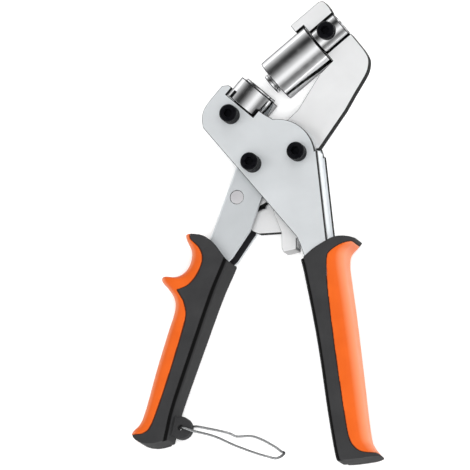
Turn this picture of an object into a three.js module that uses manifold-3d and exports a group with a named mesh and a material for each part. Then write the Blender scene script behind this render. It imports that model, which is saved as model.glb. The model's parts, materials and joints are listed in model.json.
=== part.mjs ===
// Eyelet pliers: a fixed body with two side plates and the right handle, a hinged jaw arm with the
// upper die, and a left handle whose drive pin turns the arm's forked tail. Millimetres, +Z up.
// The tool lies on its rear plate with its jaws towards +Y. While it is modelled, the jaw pivot is
// at x = y = 0 and the middle of the body's thickness at z = 0.
import * as THREE from 'three';
import { mergeVertices } from 'three/addons/utils/BufferGeometryUtils.js';
import Module from 'manifold-3d';

const wasm = await Module();
wasm.setup();

// Clearances and facets
const runningGap = 0.3;
const overrun = 4;
const roundSides = 32;
const smallSides = 16;
const hexSides = 6;
const curveStepsPerPoint = 6;
const edgeStepsPerPoint = 3;

// Body plates and folded handles
const plateThickness = 3;
const bodyGap = 14;
const sheetThickness = 2;
const armThickness = 5;
const plateMouthReach = 62;

// Pivots, and how far the handle and the jaw turn from open to closed
const pivotSpacing = 22.7;
const pivotLineAngle = THREE.MathUtils.degToRad(190.9);
const handleStroke = THREE.MathUtils.degToRad(26);
const jawOpening = THREE.MathUtils.degToRad(10.4);
const boltDiameter = 5;
const bushDiameter = 7;
const boltHeadDiameter = 8.6;
const hexSocketWidth = 4;
const hexSocketDepth = 3.5;
const handleBoltHeadHeight = 7.5;
const jawBoltHeadHeight = 5.8;
const dieBoltHeadHeight = 6.5;
const dieScrewHeadHeight = 4;
const dieScrewDiameter = 4;

// Dies, in a frame whose x runs along the lower die's axis and whose y crosses it
const dieAngle = THREE.MathUtils.degToRad(48.7);
const dieReach = 37.8;
const dieDiameter = 21.8;
const dieSeatLevel = -0.8;
const lowerDieHeight = 11.4;
const dieRingHeight = 1.2;
const dieRingDiameter = 17;
const dieBoreDiameter = 11;
const dieBoreDepth = 7;
const dieStemDiameter = 10;
const dieStemLength = 12;
const dieFaceGap = 0.8;
const upperDieLength = 27;
const upperStemDiameter = 7.4;
const punchDiameter = 10;
const punchLength = 2.8;
const punchStemDiameter = 5;
const punchStemLength = 8;
const punchGroove = 0.5;
const dieEdge = 0.5;
const holderDiameter = 13.4;
const holderLength = 14.4;
const holderBlockWidth = 18;
const notchRise = 4.3;
const lobeHalfWidth = 13.3;

// Jaw arm, measured from the jaw pivot
const armTop = 54.9;
const noseOverhang = 15.7;
const noseLength = 20;
const tailReach = 36.5;

// Left handle, measured from the handle pivot down along the handle
const handleAngle = THREE.MathUtils.degToRad(249.4);
const channelWidth = 17.2;
const drivePinAlong = 17.1;
const drivePinAcross = -3.0;
const drivePinDiameter = 5;
const driveRivetHead = 6.4;
const leftChannelLength = 122;
const leftGripLength = 143.6;
const leftGripWidth = 17;
const gripTopThickness = 22.6;
const gripFootThickness = 17;
const inlayThickness = 2.4;
const gripCornerRadius = 1.4;
const gripOuterRadius = 6;

// Right handle, measured from the jaw pivot down along the handle
const rightHandleAngle = THREE.MathUtils.degToRad(279.66);
const edgeMargin = 8.7;
const webRecess = 0.8;
const webRise = 1;
const rightChannelLength = 132;
const rightGripLength = 151.6;
const rightGripWidth = 18.5;

// Lug and wire bail at the left grip's foot
const lugDiameter = 10.8;
const lugThickness = 5.6;
const lugAlong = 129.6;
const lugAcross = 8.4;
const lugHoleDiameter = 2.6;
const wireDiameter = 1.3;
const bailReach = 49;
const bailSpread = 20.6;
const bailCorner = 2.2;

// Return spring and its post
const springWire = 1.1;
const springTurns = 5;
const springPostDiameter = 4;
const springPostDistance = 12;
const springPostAngle = THREE.MathUtils.degToRad(139);
const springStepsPerTurn = 10;
const springSides = 6;

// Guide bracket beside the tail
const guideThickness = 1.5;
const guideFoot = 44.5;
const guideWidth = 18.3;

// Colours, roughness and metalness
const plateSteel = finish(0xcfd4d8, 0.35, 0.9);
const channelSteel = finish(0xc2c8cc, 0.35, 0.9);
const armSteel = finish(0xe4e5e6, 0.4, 0.85);
const chrome = finish(0xd8d8d8, 0.12, 1);
const blackSteel = finish(0x161616, 0.4, 0.5);
const springSteel = finish(0x8c8f92, 0.3, 0.9);
const darkPlastic = finish(0x484848, 0.55, 0);
const orangePlastic = finish(0xff7a38, 0.45, 0);

function finish(color, roughness, metalness) {
  return new THREE.MeshStandardMaterial({ color, roughness, metalness });
}

// Geometry helpers

function polar(length, angle) {
  return new THREE.Vector2(length * Math.cos(angle), length * Math.sin(angle));
}

// A point given along and across a direction that starts at an origin.
function inFrame(origin, angle, along, across) {
  const point = new THREE.Vector2(along, across);
  point.rotateAround(new THREE.Vector2(), angle);
  return point.add(origin);
}

// Points whose two shares are scaled by two named sizes.
function fromShares(shares, alongSize, acrossSize) {
  return shares.map(([along, across]) => [along * alongSize, across * acrossSize]);
}

function toManifold(geometry) {
  const bare = geometry.clone();
  bare.deleteAttribute('normal');
  bare.deleteAttribute('uv');
  const welded = mergeVertices(bare);
  return new wasm.Manifold(new wasm.Mesh({
    numProp: 3,
    vertProperties: new Float32Array(welded.attributes.position.array),
    triVerts: new Uint32Array(welded.index.array),
  }));
}

function toGeometry(body) {
  const mesh = body.getMesh();
  const geometry = new THREE.BufferGeometry();
  geometry.setAttribute('position', new THREE.BufferAttribute(mesh.vertProperties, 3));
  geometry.setIndex(new THREE.BufferAttribute(mesh.triVerts, 1));
  geometry.computeVertexNormals();
  return geometry;
}

// A flat outline pulled up from zLow to zHigh.
function prismGeometry(points, zLow, zHigh) {
  const shape = new THREE.Shape(points.map((point) => new THREE.Vector2(point.x, point.y)));
  const geometry = new THREE.ExtrudeGeometry(shape, { depth: zHigh - zLow, bevelEnabled: false });
  return geometry.translate(0, 0, zLow);
}

function prism(points, zLow, zHigh) {
  return toManifold(prismGeometry(points, zLow, zHigh));
}

// A round bar or hole along z.
function rod(center, diameter, zLow, zHigh, sides = roundSides) {
  const geometry = new THREE.CylinderGeometry(diameter / 2, diameter / 2, zHigh - zLow, sides);
  geometry.rotateX(Math.PI / 2);
  return toManifold(geometry.translate(center.x, center.y, (zLow + zHigh) / 2));
}

// A profile of [distance along the axis, diameter] steps turned about an axis in the tool's plane.
function turned(steps, across, angle, sides = roundSides) {
  const points = steps.map(([along, diameter]) => new THREE.Vector2(diameter / 2, along));
  const geometry = new THREE.LatheGeometry(points, sides);
  geometry.rotateZ(-Math.PI / 2);
  geometry.translate(0, across, 0);
  return toManifold(geometry.rotateZ(angle));
}

// A ring of points on an arc, from one angle to another.
function arc(center, radius, from, to, count) {
  const points = [];
  for (let i = 0; i <= count; i += 1) {
    points.push(polar(radius, from + ((to - from) * i) / count).add(center));
  }
  return points;
}

// Points of a smooth open curve through a table's points, with a number of steps for each of them.
function curveThrough(table, stepsPerPoint) {
  const curve = new THREE.SplineCurve(table.map(([x, y]) => new THREE.Vector2(x, y)));
  return curve.getPoints(table.length * stepsPerPoint);
}

// The same as a table of [along, across] pairs.
function smoothTable(table, stepsPerPoint) {
  return curveThrough(table, stepsPerPoint).map((point) => [point.x, point.y]);
}

function node(name, body, material) {
  const mesh = new THREE.Mesh(body.isBufferGeometry ? body : toGeometry(body), material);
  mesh.name = name;
  return mesh;
}

// Places that the pieces share

const jawPivot = new THREE.Vector2();
const handlePivot = polar(pivotSpacing, pivotLineAngle);
const pivotMiddle = handlePivot.clone().multiplyScalar(1 / 2);
const plateInner = bodyGap / 2;
const plateOuter = plateInner + plateThickness;
const channelOuter = plateInner - runningGap;
const channelInner = channelOuter - sheetThickness;
const armFace = armThickness / 2;
const armEyeDiameter = 2 * (edgeMargin - webRecess - sheetThickness - runningGap);
const openDieAngle = dieAngle - jawOpening;
const lowerDieTop = dieSeatLevel + lowerDieHeight;
const upperDieFace = lowerDieTop + dieRingHeight + dieFaceGap;
const upperDieTop = upperDieFace + upperDieLength;
const holderFoot = upperDieTop + runningGap;
const dieBoltLevel = dieSeatLevel - dieStemLength / 2;
const bushHole = bushDiameter + 2 * runningGap;

const inDieFrame = (along, across) => inFrame(jawPivot, dieAngle, along, across);
const inJawFrame = (along, across) => inFrame(jawPivot, openDieAngle, along, across);
// Across is positive towards the tool's middle on the left handle, and outwards on the right one.
const inLeftHandle = (along, across) => inFrame(handlePivot, handleAngle, along, across);
const inRightHandle = (along, across) => inFrame(jawPivot, rightHandleAngle, along, across);
const drivePin = inLeftHandle(drivePinAlong, drivePinAcross);
const lugCenter = inLeftHandle(lugAlong, lugAcross);
const dieBoltPlace = inDieFrame(dieBoltLevel, dieReach);

// Side plates: a lobe round the lower die, a shoulder round both pivots and a leg into the grip

const lobeHeelShares = [[-1.5, 0.55], [-1.2, 0.85], [-0.85, 0.98], [-0.4, 1]];
const shoulderRadius = 19.2;
const shoulderStart = THREE.MathUtils.degToRad(94);
const shoulderEnd = THREE.MathUtils.degToRad(8);
const shoulderSteps = 12;
const legLeftShares = [[0.64, -0.415], [0.71, -0.355], [0.81, -0.3], [1, -0.25]];
const legRightShares = [[1, 0.28], [0.7, 0.335]];
const lobeCorner = 2.4;

function notchHalfWidth() {
  const radius = dieDiameter / 2;
  return Math.sqrt(radius * radius - plateInner * plateInner) + 2 * runningGap;
}

function plateOutline() {
  const half = notchHalfWidth();
  const top = dieSeatLevel + notchRise;
  const lobeHeel = smoothTable(fromShares(lobeHeelShares, lobeHalfWidth, lobeHalfWidth), edgeStepsPerPoint);
  const legLeft = fromShares(legLeftShares, plateMouthReach, rightGripWidth);
  const legRight = fromShares(legRightShares, plateMouthReach, rightGripWidth);
  return [
    ...legRight.map(([along, across]) => inRightHandle(along, across)),
    inRightHandle(runningGap, edgeMargin),
    ...arc(pivotMiddle, shoulderRadius, shoulderEnd, shoulderStart, shoulderSteps),
    inDieFrame(top, dieReach - half - lobeCorner),
    inDieFrame(top, dieReach - half),
    inDieFrame(dieSeatLevel, dieReach - half),
    inDieFrame(dieSeatLevel, dieReach + half),
    inDieFrame(top, dieReach + half),
    inDieFrame(top, dieReach + lobeHalfWidth - lobeCorner),
    inDieFrame(top - lobeCorner, dieReach + lobeHalfWidth),
    ...lobeHeel.reverse().map(([along, across]) => inDieFrame(along, dieReach + across)),
    ...legLeft.map(([along, across]) => inRightHandle(along, across)),
  ];
}

function sidePlate(name, zLow, zHigh) {
  let plate = prism(plateOutline(), zLow, zHigh);
  const holeDiameter = boltDiameter + 2 * runningGap;
  for (const place of [jawPivot, handlePivot, dieBoltPlace]) {
    plate = plate.subtract(rod(place, holeDiameter, zLow - overrun, zHigh + overrun, smallSides));
  }
  return node(name, plate, plateSteel);
}

// Folded channels: an outline whose web side keeps its sheet and whose other side is open

function foldedChannel(outline, hollow) {
  return prism(outline, -channelOuter, channelOuter).subtract(prism(hollow, -channelInner, channelInner));
}

const leftWebShares = [[0.01, -0.5], [0.42, -0.5], [0.5, -0.42], [1, -0.4]];
// The web's window for the tail, from and to along the channel, as shares of the pin's place.
const windowShares = [0.42, 1.75];
const leftOpenShares = [[1, 0.1], [0.5, 0.13], [0.395, 0.205], [0.37, 0.29], [0.25, 0.51], [0, 0.5]];
const webSteps = 10;

function leftChannelOutline() {
  const web = fromShares(leftWebShares, leftChannelLength, channelWidth);
  const open = fromShares(leftOpenShares, leftChannelLength, channelWidth);
  const eyeStart = handleAngle + Math.PI / 2;
  return [
    ...web.map(([along, across]) => inLeftHandle(along, across)),
    ...open.map(([along, across]) => inLeftHandle(along, across)),
    ...arc(handlePivot, channelWidth / 2, eyeStart, eyeStart + Math.PI, webSteps).slice(1, -1),
  ];
}

function leftHandleChannel() {
  const web = fromShares(leftWebShares, leftChannelLength, channelWidth);
  const hollow = [
    inLeftHandle(-channelWidth, -channelWidth),
    inLeftHandle(web[0][0], -channelWidth),
    ...web.map(([along, across]) => inLeftHandle(along, across + sheetThickness)),
    inLeftHandle(leftChannelLength + overrun, web[3][1] + sheetThickness),
    inLeftHandle(leftChannelLength + overrun, channelWidth),
    inLeftHandle(-channelWidth, channelWidth),
  ];
  const window = [
    inLeftHandle(windowShares[0] * drivePinAlong, -channelWidth),
    inLeftHandle(windowShares[1] * drivePinAlong, -channelWidth),
    inLeftHandle(windowShares[1] * drivePinAlong, 0),
    inLeftHandle(windowShares[0] * drivePinAlong, 0),
  ];
  const reach = channelOuter + overrun;
  const channel = foldedChannel(leftChannelOutline(), hollow)
    .subtract(prism(window, -armFace - runningGap, armFace + runningGap))
    .subtract(rod(handlePivot, bushHole, -reach, reach))
    .subtract(rod(drivePin, driveRivetHead + 2 * runningGap, -reach, reach, smallSides));
  return node('left_handle_channel', channel, channelSteel);
}

const rightWebShares = [[0.33, 0.29], [1, 0.16]];
const rightOpenShares = [[1, -0.24], [0.33, -0.24], [0.2, -0.3], [0.06, -0.44]];

function rightWeb() {
  const lower = fromShares(rightWebShares, rightChannelLength, rightGripWidth);
  return [[-webRise, edgeMargin - webRecess], ...lower];
}

function rightChannelOutline() {
  const open = fromShares(rightOpenShares, rightChannelLength, rightGripWidth);
  const radius = edgeMargin - webRecess;
  const eyeStart = rightHandleAngle - Math.PI / 2;
  return [
    ...open.map(([along, across]) => inRightHandle(along, across)),
    ...arc(jawPivot, radius, eyeStart, eyeStart - Math.PI / 2, webSteps),
    ...rightWeb().map(([along, across]) => inRightHandle(along, across)),
  ];
}

function rightHandleChannel() {
  const web = rightWeb();
  const hollow = [
    inRightHandle(-rightGripWidth, rightGripWidth),
    inRightHandle(web[0][0], rightGripWidth),
    ...web.map(([along, across]) => inRightHandle(along, across - sheetThickness)),
    inRightHandle(rightChannelLength + overrun, web[2][1] - sheetThickness),
    inRightHandle(rightChannelLength + overrun, -rightGripWidth),
    inRightHandle(-rightGripWidth, -rightGripWidth),
  ];
  const reach = channelOuter + overrun;
  const channel = foldedChannel(rightChannelOutline(), hollow)
    .subtract(rod(jawPivot, bushHole, -reach, reach));
  return node('right_handle_channel', channel, channelSteel);
}

// Bolts with hex-socket heads on the front, bushes and washers

function socketBolt(name, place, diameter, seat, headHeight, foot) {
  const radius = hexSocketWidth / 2;
  const socket = new THREE.CylinderGeometry(radius, radius, hexSocketDepth + overrun, hexSides);
  socket.rotateX(Math.PI / 2);
  const headTop = seat + runningGap + headHeight;
  socket.translate(place.x, place.y, headTop + overrun - (hexSocketDepth + overrun) / 2);
  const bolt = rod(place, boltHeadDiameter, seat + runningGap, headTop)
    .add(rod(place, diameter, foot, headTop - hexSocketDepth, smallSides))
    .subtract(toManifold(socket));
  return node(name, bolt, blackSteel);
}

// A tube or ring along z round a bolt or a bush.
function ring(place, outerDiameter, innerDiameter, zLow, zHigh) {
  return rod(place, outerDiameter, zLow, zHigh)
    .subtract(rod(place, innerDiameter, zLow - overrun, zHigh + overrun, smallSides));
}

function bush(name, place) {
  const reach = plateInner - runningGap;
  return node(name, ring(place, bushDiameter, boltDiameter + 2 * runningGap, -reach, reach), chrome);
}

function boltFoot() {
  return -plateOuter + runningGap;
}

// Lower die, the block that holds it and its cross bolt

function lowerDie() {
  const boreFoot = lowerDieTop + dieRingHeight - dieBoreDepth;
  const ringTop = lowerDieTop + dieRingHeight;
  const die = turned([
    [dieSeatLevel - dieStemLength, 0],
    [dieSeatLevel - dieStemLength, dieStemDiameter],
    [dieSeatLevel + runningGap, dieStemDiameter],
    [dieSeatLevel + runningGap, dieDiameter - 2 * dieEdge],
    [dieSeatLevel + runningGap + dieEdge, dieDiameter],
    [lowerDieTop - dieEdge, dieDiameter],
    [lowerDieTop, dieDiameter - 2 * dieEdge],
    [lowerDieTop, dieRingDiameter],
    [ringTop - dieEdge, dieRingDiameter],
    [ringTop, dieRingDiameter - 2 * dieEdge],
    [ringTop, dieBoreDiameter],
    [boreFoot, dieBoreDiameter],
    [boreFoot, 0],
  ], dieReach, dieAngle);
  const reach = plateOuter + overrun;
  const boltHole = rod(dieBoltPlace, boltDiameter + 2 * runningGap, -reach, reach, smallSides);
  return node('lower_die', die.subtract(boltHole), chrome);
}

function lowerDieHolder() {
  const top = dieSeatLevel - runningGap;
  const foot = dieSeatLevel - dieStemLength - sheetThickness;
  const half = holderBlockWidth / 2;
  const outline = [
    inDieFrame(foot, dieReach - half),
    inDieFrame(top, dieReach - half),
    inDieFrame(top, dieReach + half),
    inDieFrame(foot, dieReach + half),
  ];
  const stemHole = turned([
    [dieSeatLevel - dieStemLength - runningGap, 0],
    [dieSeatLevel - dieStemLength - runningGap, dieStemDiameter + 2 * runningGap],
    [dieSeatLevel + overrun, dieStemDiameter + 2 * runningGap],
    [dieSeatLevel + overrun, 0],
  ], dieReach, dieAngle);
  const reach = plateOuter + overrun;
  const block = prism(outline, -channelOuter, channelOuter)
    .subtract(stemHole)
    .subtract(rod(dieBoltPlace, boltDiameter + 2 * runningGap, -reach, reach, smallSides));
  return node('lower_die_holder', block, blackSteel);
}

// Upper die, its punch, the tube that holds it and the screw

function upperDie() {
  const stemTop = holderFoot + holderLength - runningGap;
  const die = turned([
    [upperDieFace, 0],
    [upperDieFace, dieDiameter - 2 * dieEdge],
    [upperDieFace + dieEdge, dieDiameter],
    [upperDieTop - dieEdge, dieDiameter],
    [upperDieTop, dieDiameter - 2 * dieEdge],
    [upperDieTop, upperStemDiameter],
    [stemTop, upperStemDiameter],
    [stemTop, 0],
  ], dieReach, openDieAngle);
  const punchHole = turned([
    [upperDieFace - overrun, 0],
    [upperDieFace - overrun, punchStemDiameter + 2 * runningGap],
    [upperDieFace + punchStemLength + runningGap, punchStemDiameter + 2 * runningGap],
    [upperDieFace + punchStemLength + runningGap, 0],
  ], dieReach, openDieAngle, smallSides);
  return node('upper_die', die.subtract(punchHole), chrome);
}

function punchTip() {
  const foot = upperDieFace - punchLength;
  const seat = upperDieFace - runningGap;
  const punch = turned([
    [foot, 0],
    [foot, punchDiameter - 2 * dieEdge],
    [foot + dieEdge, punchDiameter],
    [seat - dieEdge - punchGroove, punchDiameter],
    [seat - dieEdge - punchGroove, punchDiameter - 2 * punchGroove],
    [seat - dieEdge, punchDiameter - 2 * punchGroove],
    [seat - dieEdge, punchDiameter],
    [seat, punchDiameter],
    [seat, punchStemDiameter],
    [upperDieFace + punchStemLength, punchStemDiameter],
    [upperDieFace + punchStemLength, 0],
  ], dieReach, openDieAngle);
  return node('punch_tip', punch, chrome);
}

const dieScrewLevel = holderFoot + holderLength / 2;
const dieScrewPlace = inJawFrame(dieScrewLevel, dieReach);

function upperDieHolder() {
  const top = holderFoot + holderLength;
  const tube = turned([
    [holderFoot, upperStemDiameter + 2 * runningGap],
    [holderFoot, holderDiameter],
    [top - dieEdge, holderDiameter],
    [top, holderDiameter - 2 * dieEdge],
    [top, upperStemDiameter + 2 * runningGap],
    [holderFoot, upperStemDiameter + 2 * runningGap],
  ], dieReach, openDieAngle);
  const hole = rod(dieScrewPlace, dieScrewDiameter + 2 * runningGap, 0, holderDiameter, smallSides);
  return node('upper_die_holder', tube.subtract(hole), chrome);
}

function upperDieScrew() {
  const seat = holderDiameter / 2;
  const foot = upperStemDiameter / 2 + runningGap;
  return socketBolt('upper_die_screw', dieScrewPlace, dieScrewDiameter, seat, dieScrewHeadHeight, foot);
}

// Jaw arm: a flat plate from the holder tube round the dies to the jaw pivot, with a forked tail

const armOuterShares = [
  [1, 0.54], [0.985, 0.42], [0.94, 0.335], [0.87, 0.27], [0.7, 0.18], [0.54, 0.09],
];
const armNeckShares = [0.151, -0.071];
const armInnerShares = [[0.06, 0.49], [0.22, 0.5], [0.57, 0.675]];
const armHeelShares = [[0.49, -0.09], [0, -0.5], [-0.5, 0], [-0.17, 0.67]];
const tailShares = [
  [-0.1, 0.1], [0.62, 0.79], [0.77, 0.7], [1.025, 0.545], [1.075, 0.47], [1.09, 0.36], [1.01, 0.285],
  [0.81, 0.3], [0.71, 0.365], [0.7, 0.315], [0.72, 0.247], [1.07, 0.22], [1.07, 0.04], [0.975, -0.05],
  [0.975, -0.118], [0.91, -0.145], [0.74, -0.118], [0.58, -0.06], [0.38, -0.088], [0.1, -0.165],
];

// The drive pin's places at the open and the closed end, both in the arm's own frame.
function pinPathInArm() {
  const closedPin = drivePin.clone().rotateAround(handlePivot, handleStroke);
  closedPin.rotateAround(jawPivot, -jawOpening);
  return [drivePin.clone(), closedPin];
}

function pinSlot() {
  const [openPin, closedPin] = pinPathInArm();
  const half = drivePinDiameter / 2 + runningGap;
  const angle = openPin.clone().sub(closedPin).angle();
  const reach = openPin.distanceTo(closedPin) + drivePinDiameter;
  const outline = [
    inFrame(closedPin, angle, 0, -half),
    inFrame(closedPin, angle, reach, -half),
    inFrame(closedPin, angle, reach, half),
    inFrame(closedPin, angle, 0, half),
  ];
  return prism(outline, -bodyGap, bodyGap).add(rod(closedPin, 2 * half, -bodyGap, bodyGap));
}

function jawArm() {
  const half = holderDiameter / 2 + runningGap;
  const besideDie = dieReach - dieDiameter / 2 - 2 * runningGap;
  const outer = smoothTable(fromShares(armOuterShares, armTop, dieReach), edgeStepsPerPoint);
  const neck = [armNeckShares[0] * armTop, armNeckShares[1] * dieReach];
  const heel = fromShares(armHeelShares, armEyeDiameter, armEyeDiameter);
  const inner = fromShares(armInnerShares, armTop, dieReach);
  const shoulder = upperDieTop + runningGap;
  const head = [
    [armTop, dieReach - half], ...outer, neck, ...heel, ...inner,
    [shoulder, besideDie], [shoulder, dieReach - half],
  ];
  const pinAngle = drivePin.angle();
  const tail = fromShares(tailShares, tailReach, tailReach)
    .map(([along, across]) => inFrame(jawPivot, pinAngle, along, across));
  const arm = prism(head.map(([along, across]) => inJawFrame(along, across)), -armFace, armFace)
    .add(prism(tail, -armFace, armFace))
    .add(rod(jawPivot, armEyeDiameter, -armFace, armFace))
    .subtract(rod(jawPivot, bushHole, -bodyGap, bodyGap))
    .subtract(pinSlot());
  return node('jaw_arm', arm, armSteel);
}

function jawNose() {
  const side = dieReach + holderDiameter / 2 + runningGap;
  const besideDie = dieReach + dieDiameter / 2 + 2 * runningGap;
  const reach = dieReach + noseOverhang;
  const corner = (reach - side) / 3;
  const shoulder = upperDieTop + runningGap;
  const outline = [
    [shoulder, side],
    [armTop - dieEdge, side],
    [armTop, side + corner],
    ...arc(new THREE.Vector2(armTop - corner, reach - corner), corner, 0, Math.PI / 2, 4)
      .map((point) => [point.x, point.y]),
    [armTop - noseLength, reach],
    [armTop - noseLength, besideDie],
    [shoulder, besideDie],
  ];
  const places = outline.map(([along, across]) => inJawFrame(along, across));
  return node('jaw_nose', prism(places, -armFace, armFace), armSteel);
}

function jawWasher(name, side) {
  const near = armFace + runningGap;
  const far = channelInner - runningGap;
  const low = side > 0 ? near : -far;
  const high = side > 0 ? far : -near;
  return node(name, ring(jawPivot, armEyeDiameter, bushHole, low, high), chrome);
}

// Drive rivet: a pin between the cheeks with a flush head in each of them

function driveRivet() {
  const headSeat = channelInner + runningGap;
  const rivet = rod(drivePin, drivePinDiameter, -channelOuter, channelOuter)
    .add(rod(drivePin, driveRivetHead, headSeat, channelOuter, smallSides))
    .add(rod(drivePin, driveRivetHead, -channelOuter, -headSeat, smallSides));
  return node('drive_rivet', rivet, chrome);
}

// Return spring round the handle pivot's bush, its post, and the guide bracket beside the tail

const springRadius = bushDiameter / 2 + runningGap + springWire / 2;
const springPost = polar(springPostDistance, springPostAngle).add(handlePivot);
const springPitch = springWire + runningGap / 2;

function returnSpring() {
  const postGap = springPostDiameter / 2 + springWire / 2 + runningGap;
  const legTilt = Math.asin((springRadius + postGap) / springPostDistance);
  const startAngle = springPostAngle - legTilt + Math.PI / 2;
  const endAngle = handleAngle - Math.PI / 2 + springTurns * 2 * Math.PI;
  const sweep = endAngle - startAngle;
  const height = (sweep / (2 * Math.PI)) * springPitch;
  const steps = springTurns * springStepsPerTurn;
  const leg = (angle, direction, length, z) => {
    const end = polar(springRadius, angle).addScaledVector(polar(1, angle + direction), length);
    return new THREE.Vector3(end.x, end.y, z);
  };
  const points = [
    leg(startAngle, -Math.PI / 2, springPostDistance, -height / 2),
    leg(startAngle, -Math.PI / 2, springPostDistance / 2, -height / 2),
  ];
  for (let i = 0; i <= steps; i += 1) {
    const place = polar(springRadius, startAngle + (sweep * i) / steps);
    points.push(new THREE.Vector3(place.x, place.y, height * (i / steps - 1 / 2)));
  }
  points.push(leg(endAngle, Math.PI / 2, channelWidth / 2, height / 2));
  const center = new THREE.Vector3(handlePivot.x, handlePivot.y, 0);
  points.forEach((point) => point.add(center));
  return node('return_spring', tube(points, springWire, springSides, points.length), springSteel);
}

// A bar of round section along a smooth curve through the points.
function tube(points, diameter, sides, steps) {
  const curve = new THREE.CatmullRomCurve3(points, false, 'centripetal');
  const section = new THREE.Shape();
  arc(new THREE.Vector2(), diameter / 2, 0, 2 * Math.PI, sides).slice(0, -1).forEach((point, i) => {
    if (i === 0) section.moveTo(point.x, point.y);
    else section.lineTo(point.x, point.y);
  });
  const geometry = new THREE.ExtrudeGeometry(section, { steps, extrudePath: curve, bevelEnabled: false });
  return toManifold(geometry);
}

function springPin() {
  const post = rod(springPost, springPostDiameter, -channelOuter, channelOuter, smallSides);
  return node('spring_post', post, chrome);
}

const guideShares = [
  [0.52, -1], [0.785, -0.87], [0.95, -0.93], [1, -0.9], [1, -0.55], [0.88, -0.5], [0.86, -0.12],
  [0.56, -0.02],
];
const guideHollowShares = [[0.4, -1.3], [0.965, -1.3], [0.965, 0.3], [0.4, 0.3]];

function tailGuide() {
  const outer = channelInner - runningGap;
  const inner = outer - guideThickness;
  const place = ([along, across]) => inRightHandle(along, across);
  const guide = prism(fromShares(guideShares, guideFoot, guideWidth).map(place), -outer, outer)
    .subtract(prism(fromShares(guideHollowShares, guideFoot, guideWidth).map(place), -inner, inner));
  return node('tail_guide', guide, armSteel);
}

// Grips: rounded sections along the handle, cut to the grip's outline, each a dark core with an
// orange inlay on its outer side

// A value read off a polyline of [along, value] points.
function valueAt(points, along) {
  let next = points.findIndex((point) => point.x >= along);
  if (next < 0) next = points.length - 1;
  if (next === 0) next = 1;
  const from = points[next - 1];
  const to = points[next];
  const share = THREE.MathUtils.clamp((along - from.x) / (to.x - from.x), 0, 1);
  return from.y + share * (to.y - from.y);
}

// A rounded rectangle of [across, z] points from the inner side to the outer side. Its corners take
// at most this share of its smaller half side.
const cornerLimitShare = 0.9;

function gripSection(inner, outer, half, innerRadius, outerRadius, steps) {
  const sign = Math.sign(inner - outer);
  const limit = Math.min(half, Math.abs(inner - outer) / 2) * cornerLimitShare;
  const corners = [
    [inner, 1, Math.min(innerRadius, limit), sign],
    [outer, 1, Math.min(outerRadius, limit), -sign],
    [outer, -1, Math.min(outerRadius, limit), -sign],
    [inner, -1, Math.min(innerRadius, limit), sign],
  ];
  const points = [];
  corners.forEach(([side, up, radius, towards], quarter) => {
    const center = [side - towards * radius, up * (half - radius)];
    for (let i = 0; i <= steps; i += 1) {
      const turn = (quarter + i / steps) * (Math.PI / 2);
      points.push([center[0] + sign * radius * Math.cos(turn), center[1] + radius * Math.sin(turn)]);
    }
  });
  return points;
}

// A closed skin over rings of points, with a flat fan at each end.
function loft(rings, flip) {
  const count = rings[0].length;
  const positions = [];
  const index = [];
  for (const point of rings.flat()) positions.push(point.x, point.y, point.z);
  const face = (a, b, c) => (flip ? index.push(a, c, b) : index.push(a, b, c));
  for (let i = 0; i + 1 < rings.length; i += 1) {
    for (let j = 0; j < count; j += 1) {
      const next = (j + 1) % count;
      face(i * count + j, i * count + next, (i + 1) * count + j);
      face(i * count + next, (i + 1) * count + next, (i + 1) * count + j);
    }
  }
  const last = (rings.length - 1) * count;
  for (let j = 1; j + 1 < count; j += 1) {
    face(0, j + 1, j);
    face(last, last + j, last + j + 1);
  }
  const geometry = new THREE.BufferGeometry();
  geometry.setAttribute('position', new THREE.Float32BufferAttribute(positions, 3));
  geometry.setIndex(index);
  return geometry;
}

const gripStations = 24;
const gripCornerSteps = 3;

function gripBody(grip, inset) {
  const outer = curveThrough(grip.outer, curveStepsPerPoint);
  const inner = curveThrough(grip.inner, curveStepsPerPoint);
  const sign = Math.sign(inner[0].y - outer[0].y);
  const start = outer[0].x;
  const rings = [];
  for (let i = 0; i <= gripStations; i += 1) {
    const along = start + ((grip.length - start) * i) / gripStations;
    const share = i / gripStations;
    const half = (gripTopThickness + (gripFootThickness - gripTopThickness) * share) / 2 - inset;
    const innerSide = valueAt(inner, along) - sign * inset;
    const outerSide = valueAt(outer, along) + sign * inset;
    const outerRadius = gripOuterRadius - inset;
    const section = gripSection(innerSide, outerSide, half, gripCornerRadius, outerRadius, gripCornerSteps);
    rings.push(section.map(([across, z]) => {
      const place = grip.place(along, across);
      return new THREE.Vector3(place.x, place.y, z);
    }));
  }
  return toManifold(loft(rings, sign < 0));
}

function gripPieces(grip, coreName, inlayName, pocket, extra) {
  const reach = gripTopThickness;
  const place = ([along, across]) => grip.place(along, across);
  const trim = prism(grip.trim.map(place), -reach, reach);
  const whole = gripBody(grip, 0).intersect(trim);
  const spine = gripBody(grip, inlayThickness).intersect(trim);
  const spineSkin = gripBody(grip, inlayThickness + runningGap).intersect(trim);
  const inlayArea = prism(grip.inlay.map(place), -reach, reach);
  const inlay = whole.intersect(inlayArea).subtract(spine);
  let core = whole.subtract(inlayArea).add(spineSkin);
  if (extra) core = extra(core);
  return [
    node(coreName, core.subtract(pocket), darkPlastic),
    node(inlayName, inlay.subtract(pocket), orangePlastic),
  ];
}

// The room in a grip for the steel that runs into it: the steel's outline, widened by the clearance.
const roomSides = 8;

function room(outline, zReach) {
  const reach = zReach + runningGap;
  let space = prism(outline, -reach, reach);
  for (const shift of arc(new THREE.Vector2(), runningGap, 0, 2 * Math.PI, roomSides).slice(1)) {
    space = space.add(prism(outline.map((point) => point.clone().add(shift)), -reach, reach));
  }
  return space;
}

// Outlines of the grips as shares of each grip's length and width: the sides that the hand holds,
// the cut at its mouth and foot, and the edge between the dark core and the orange inlay

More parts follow.
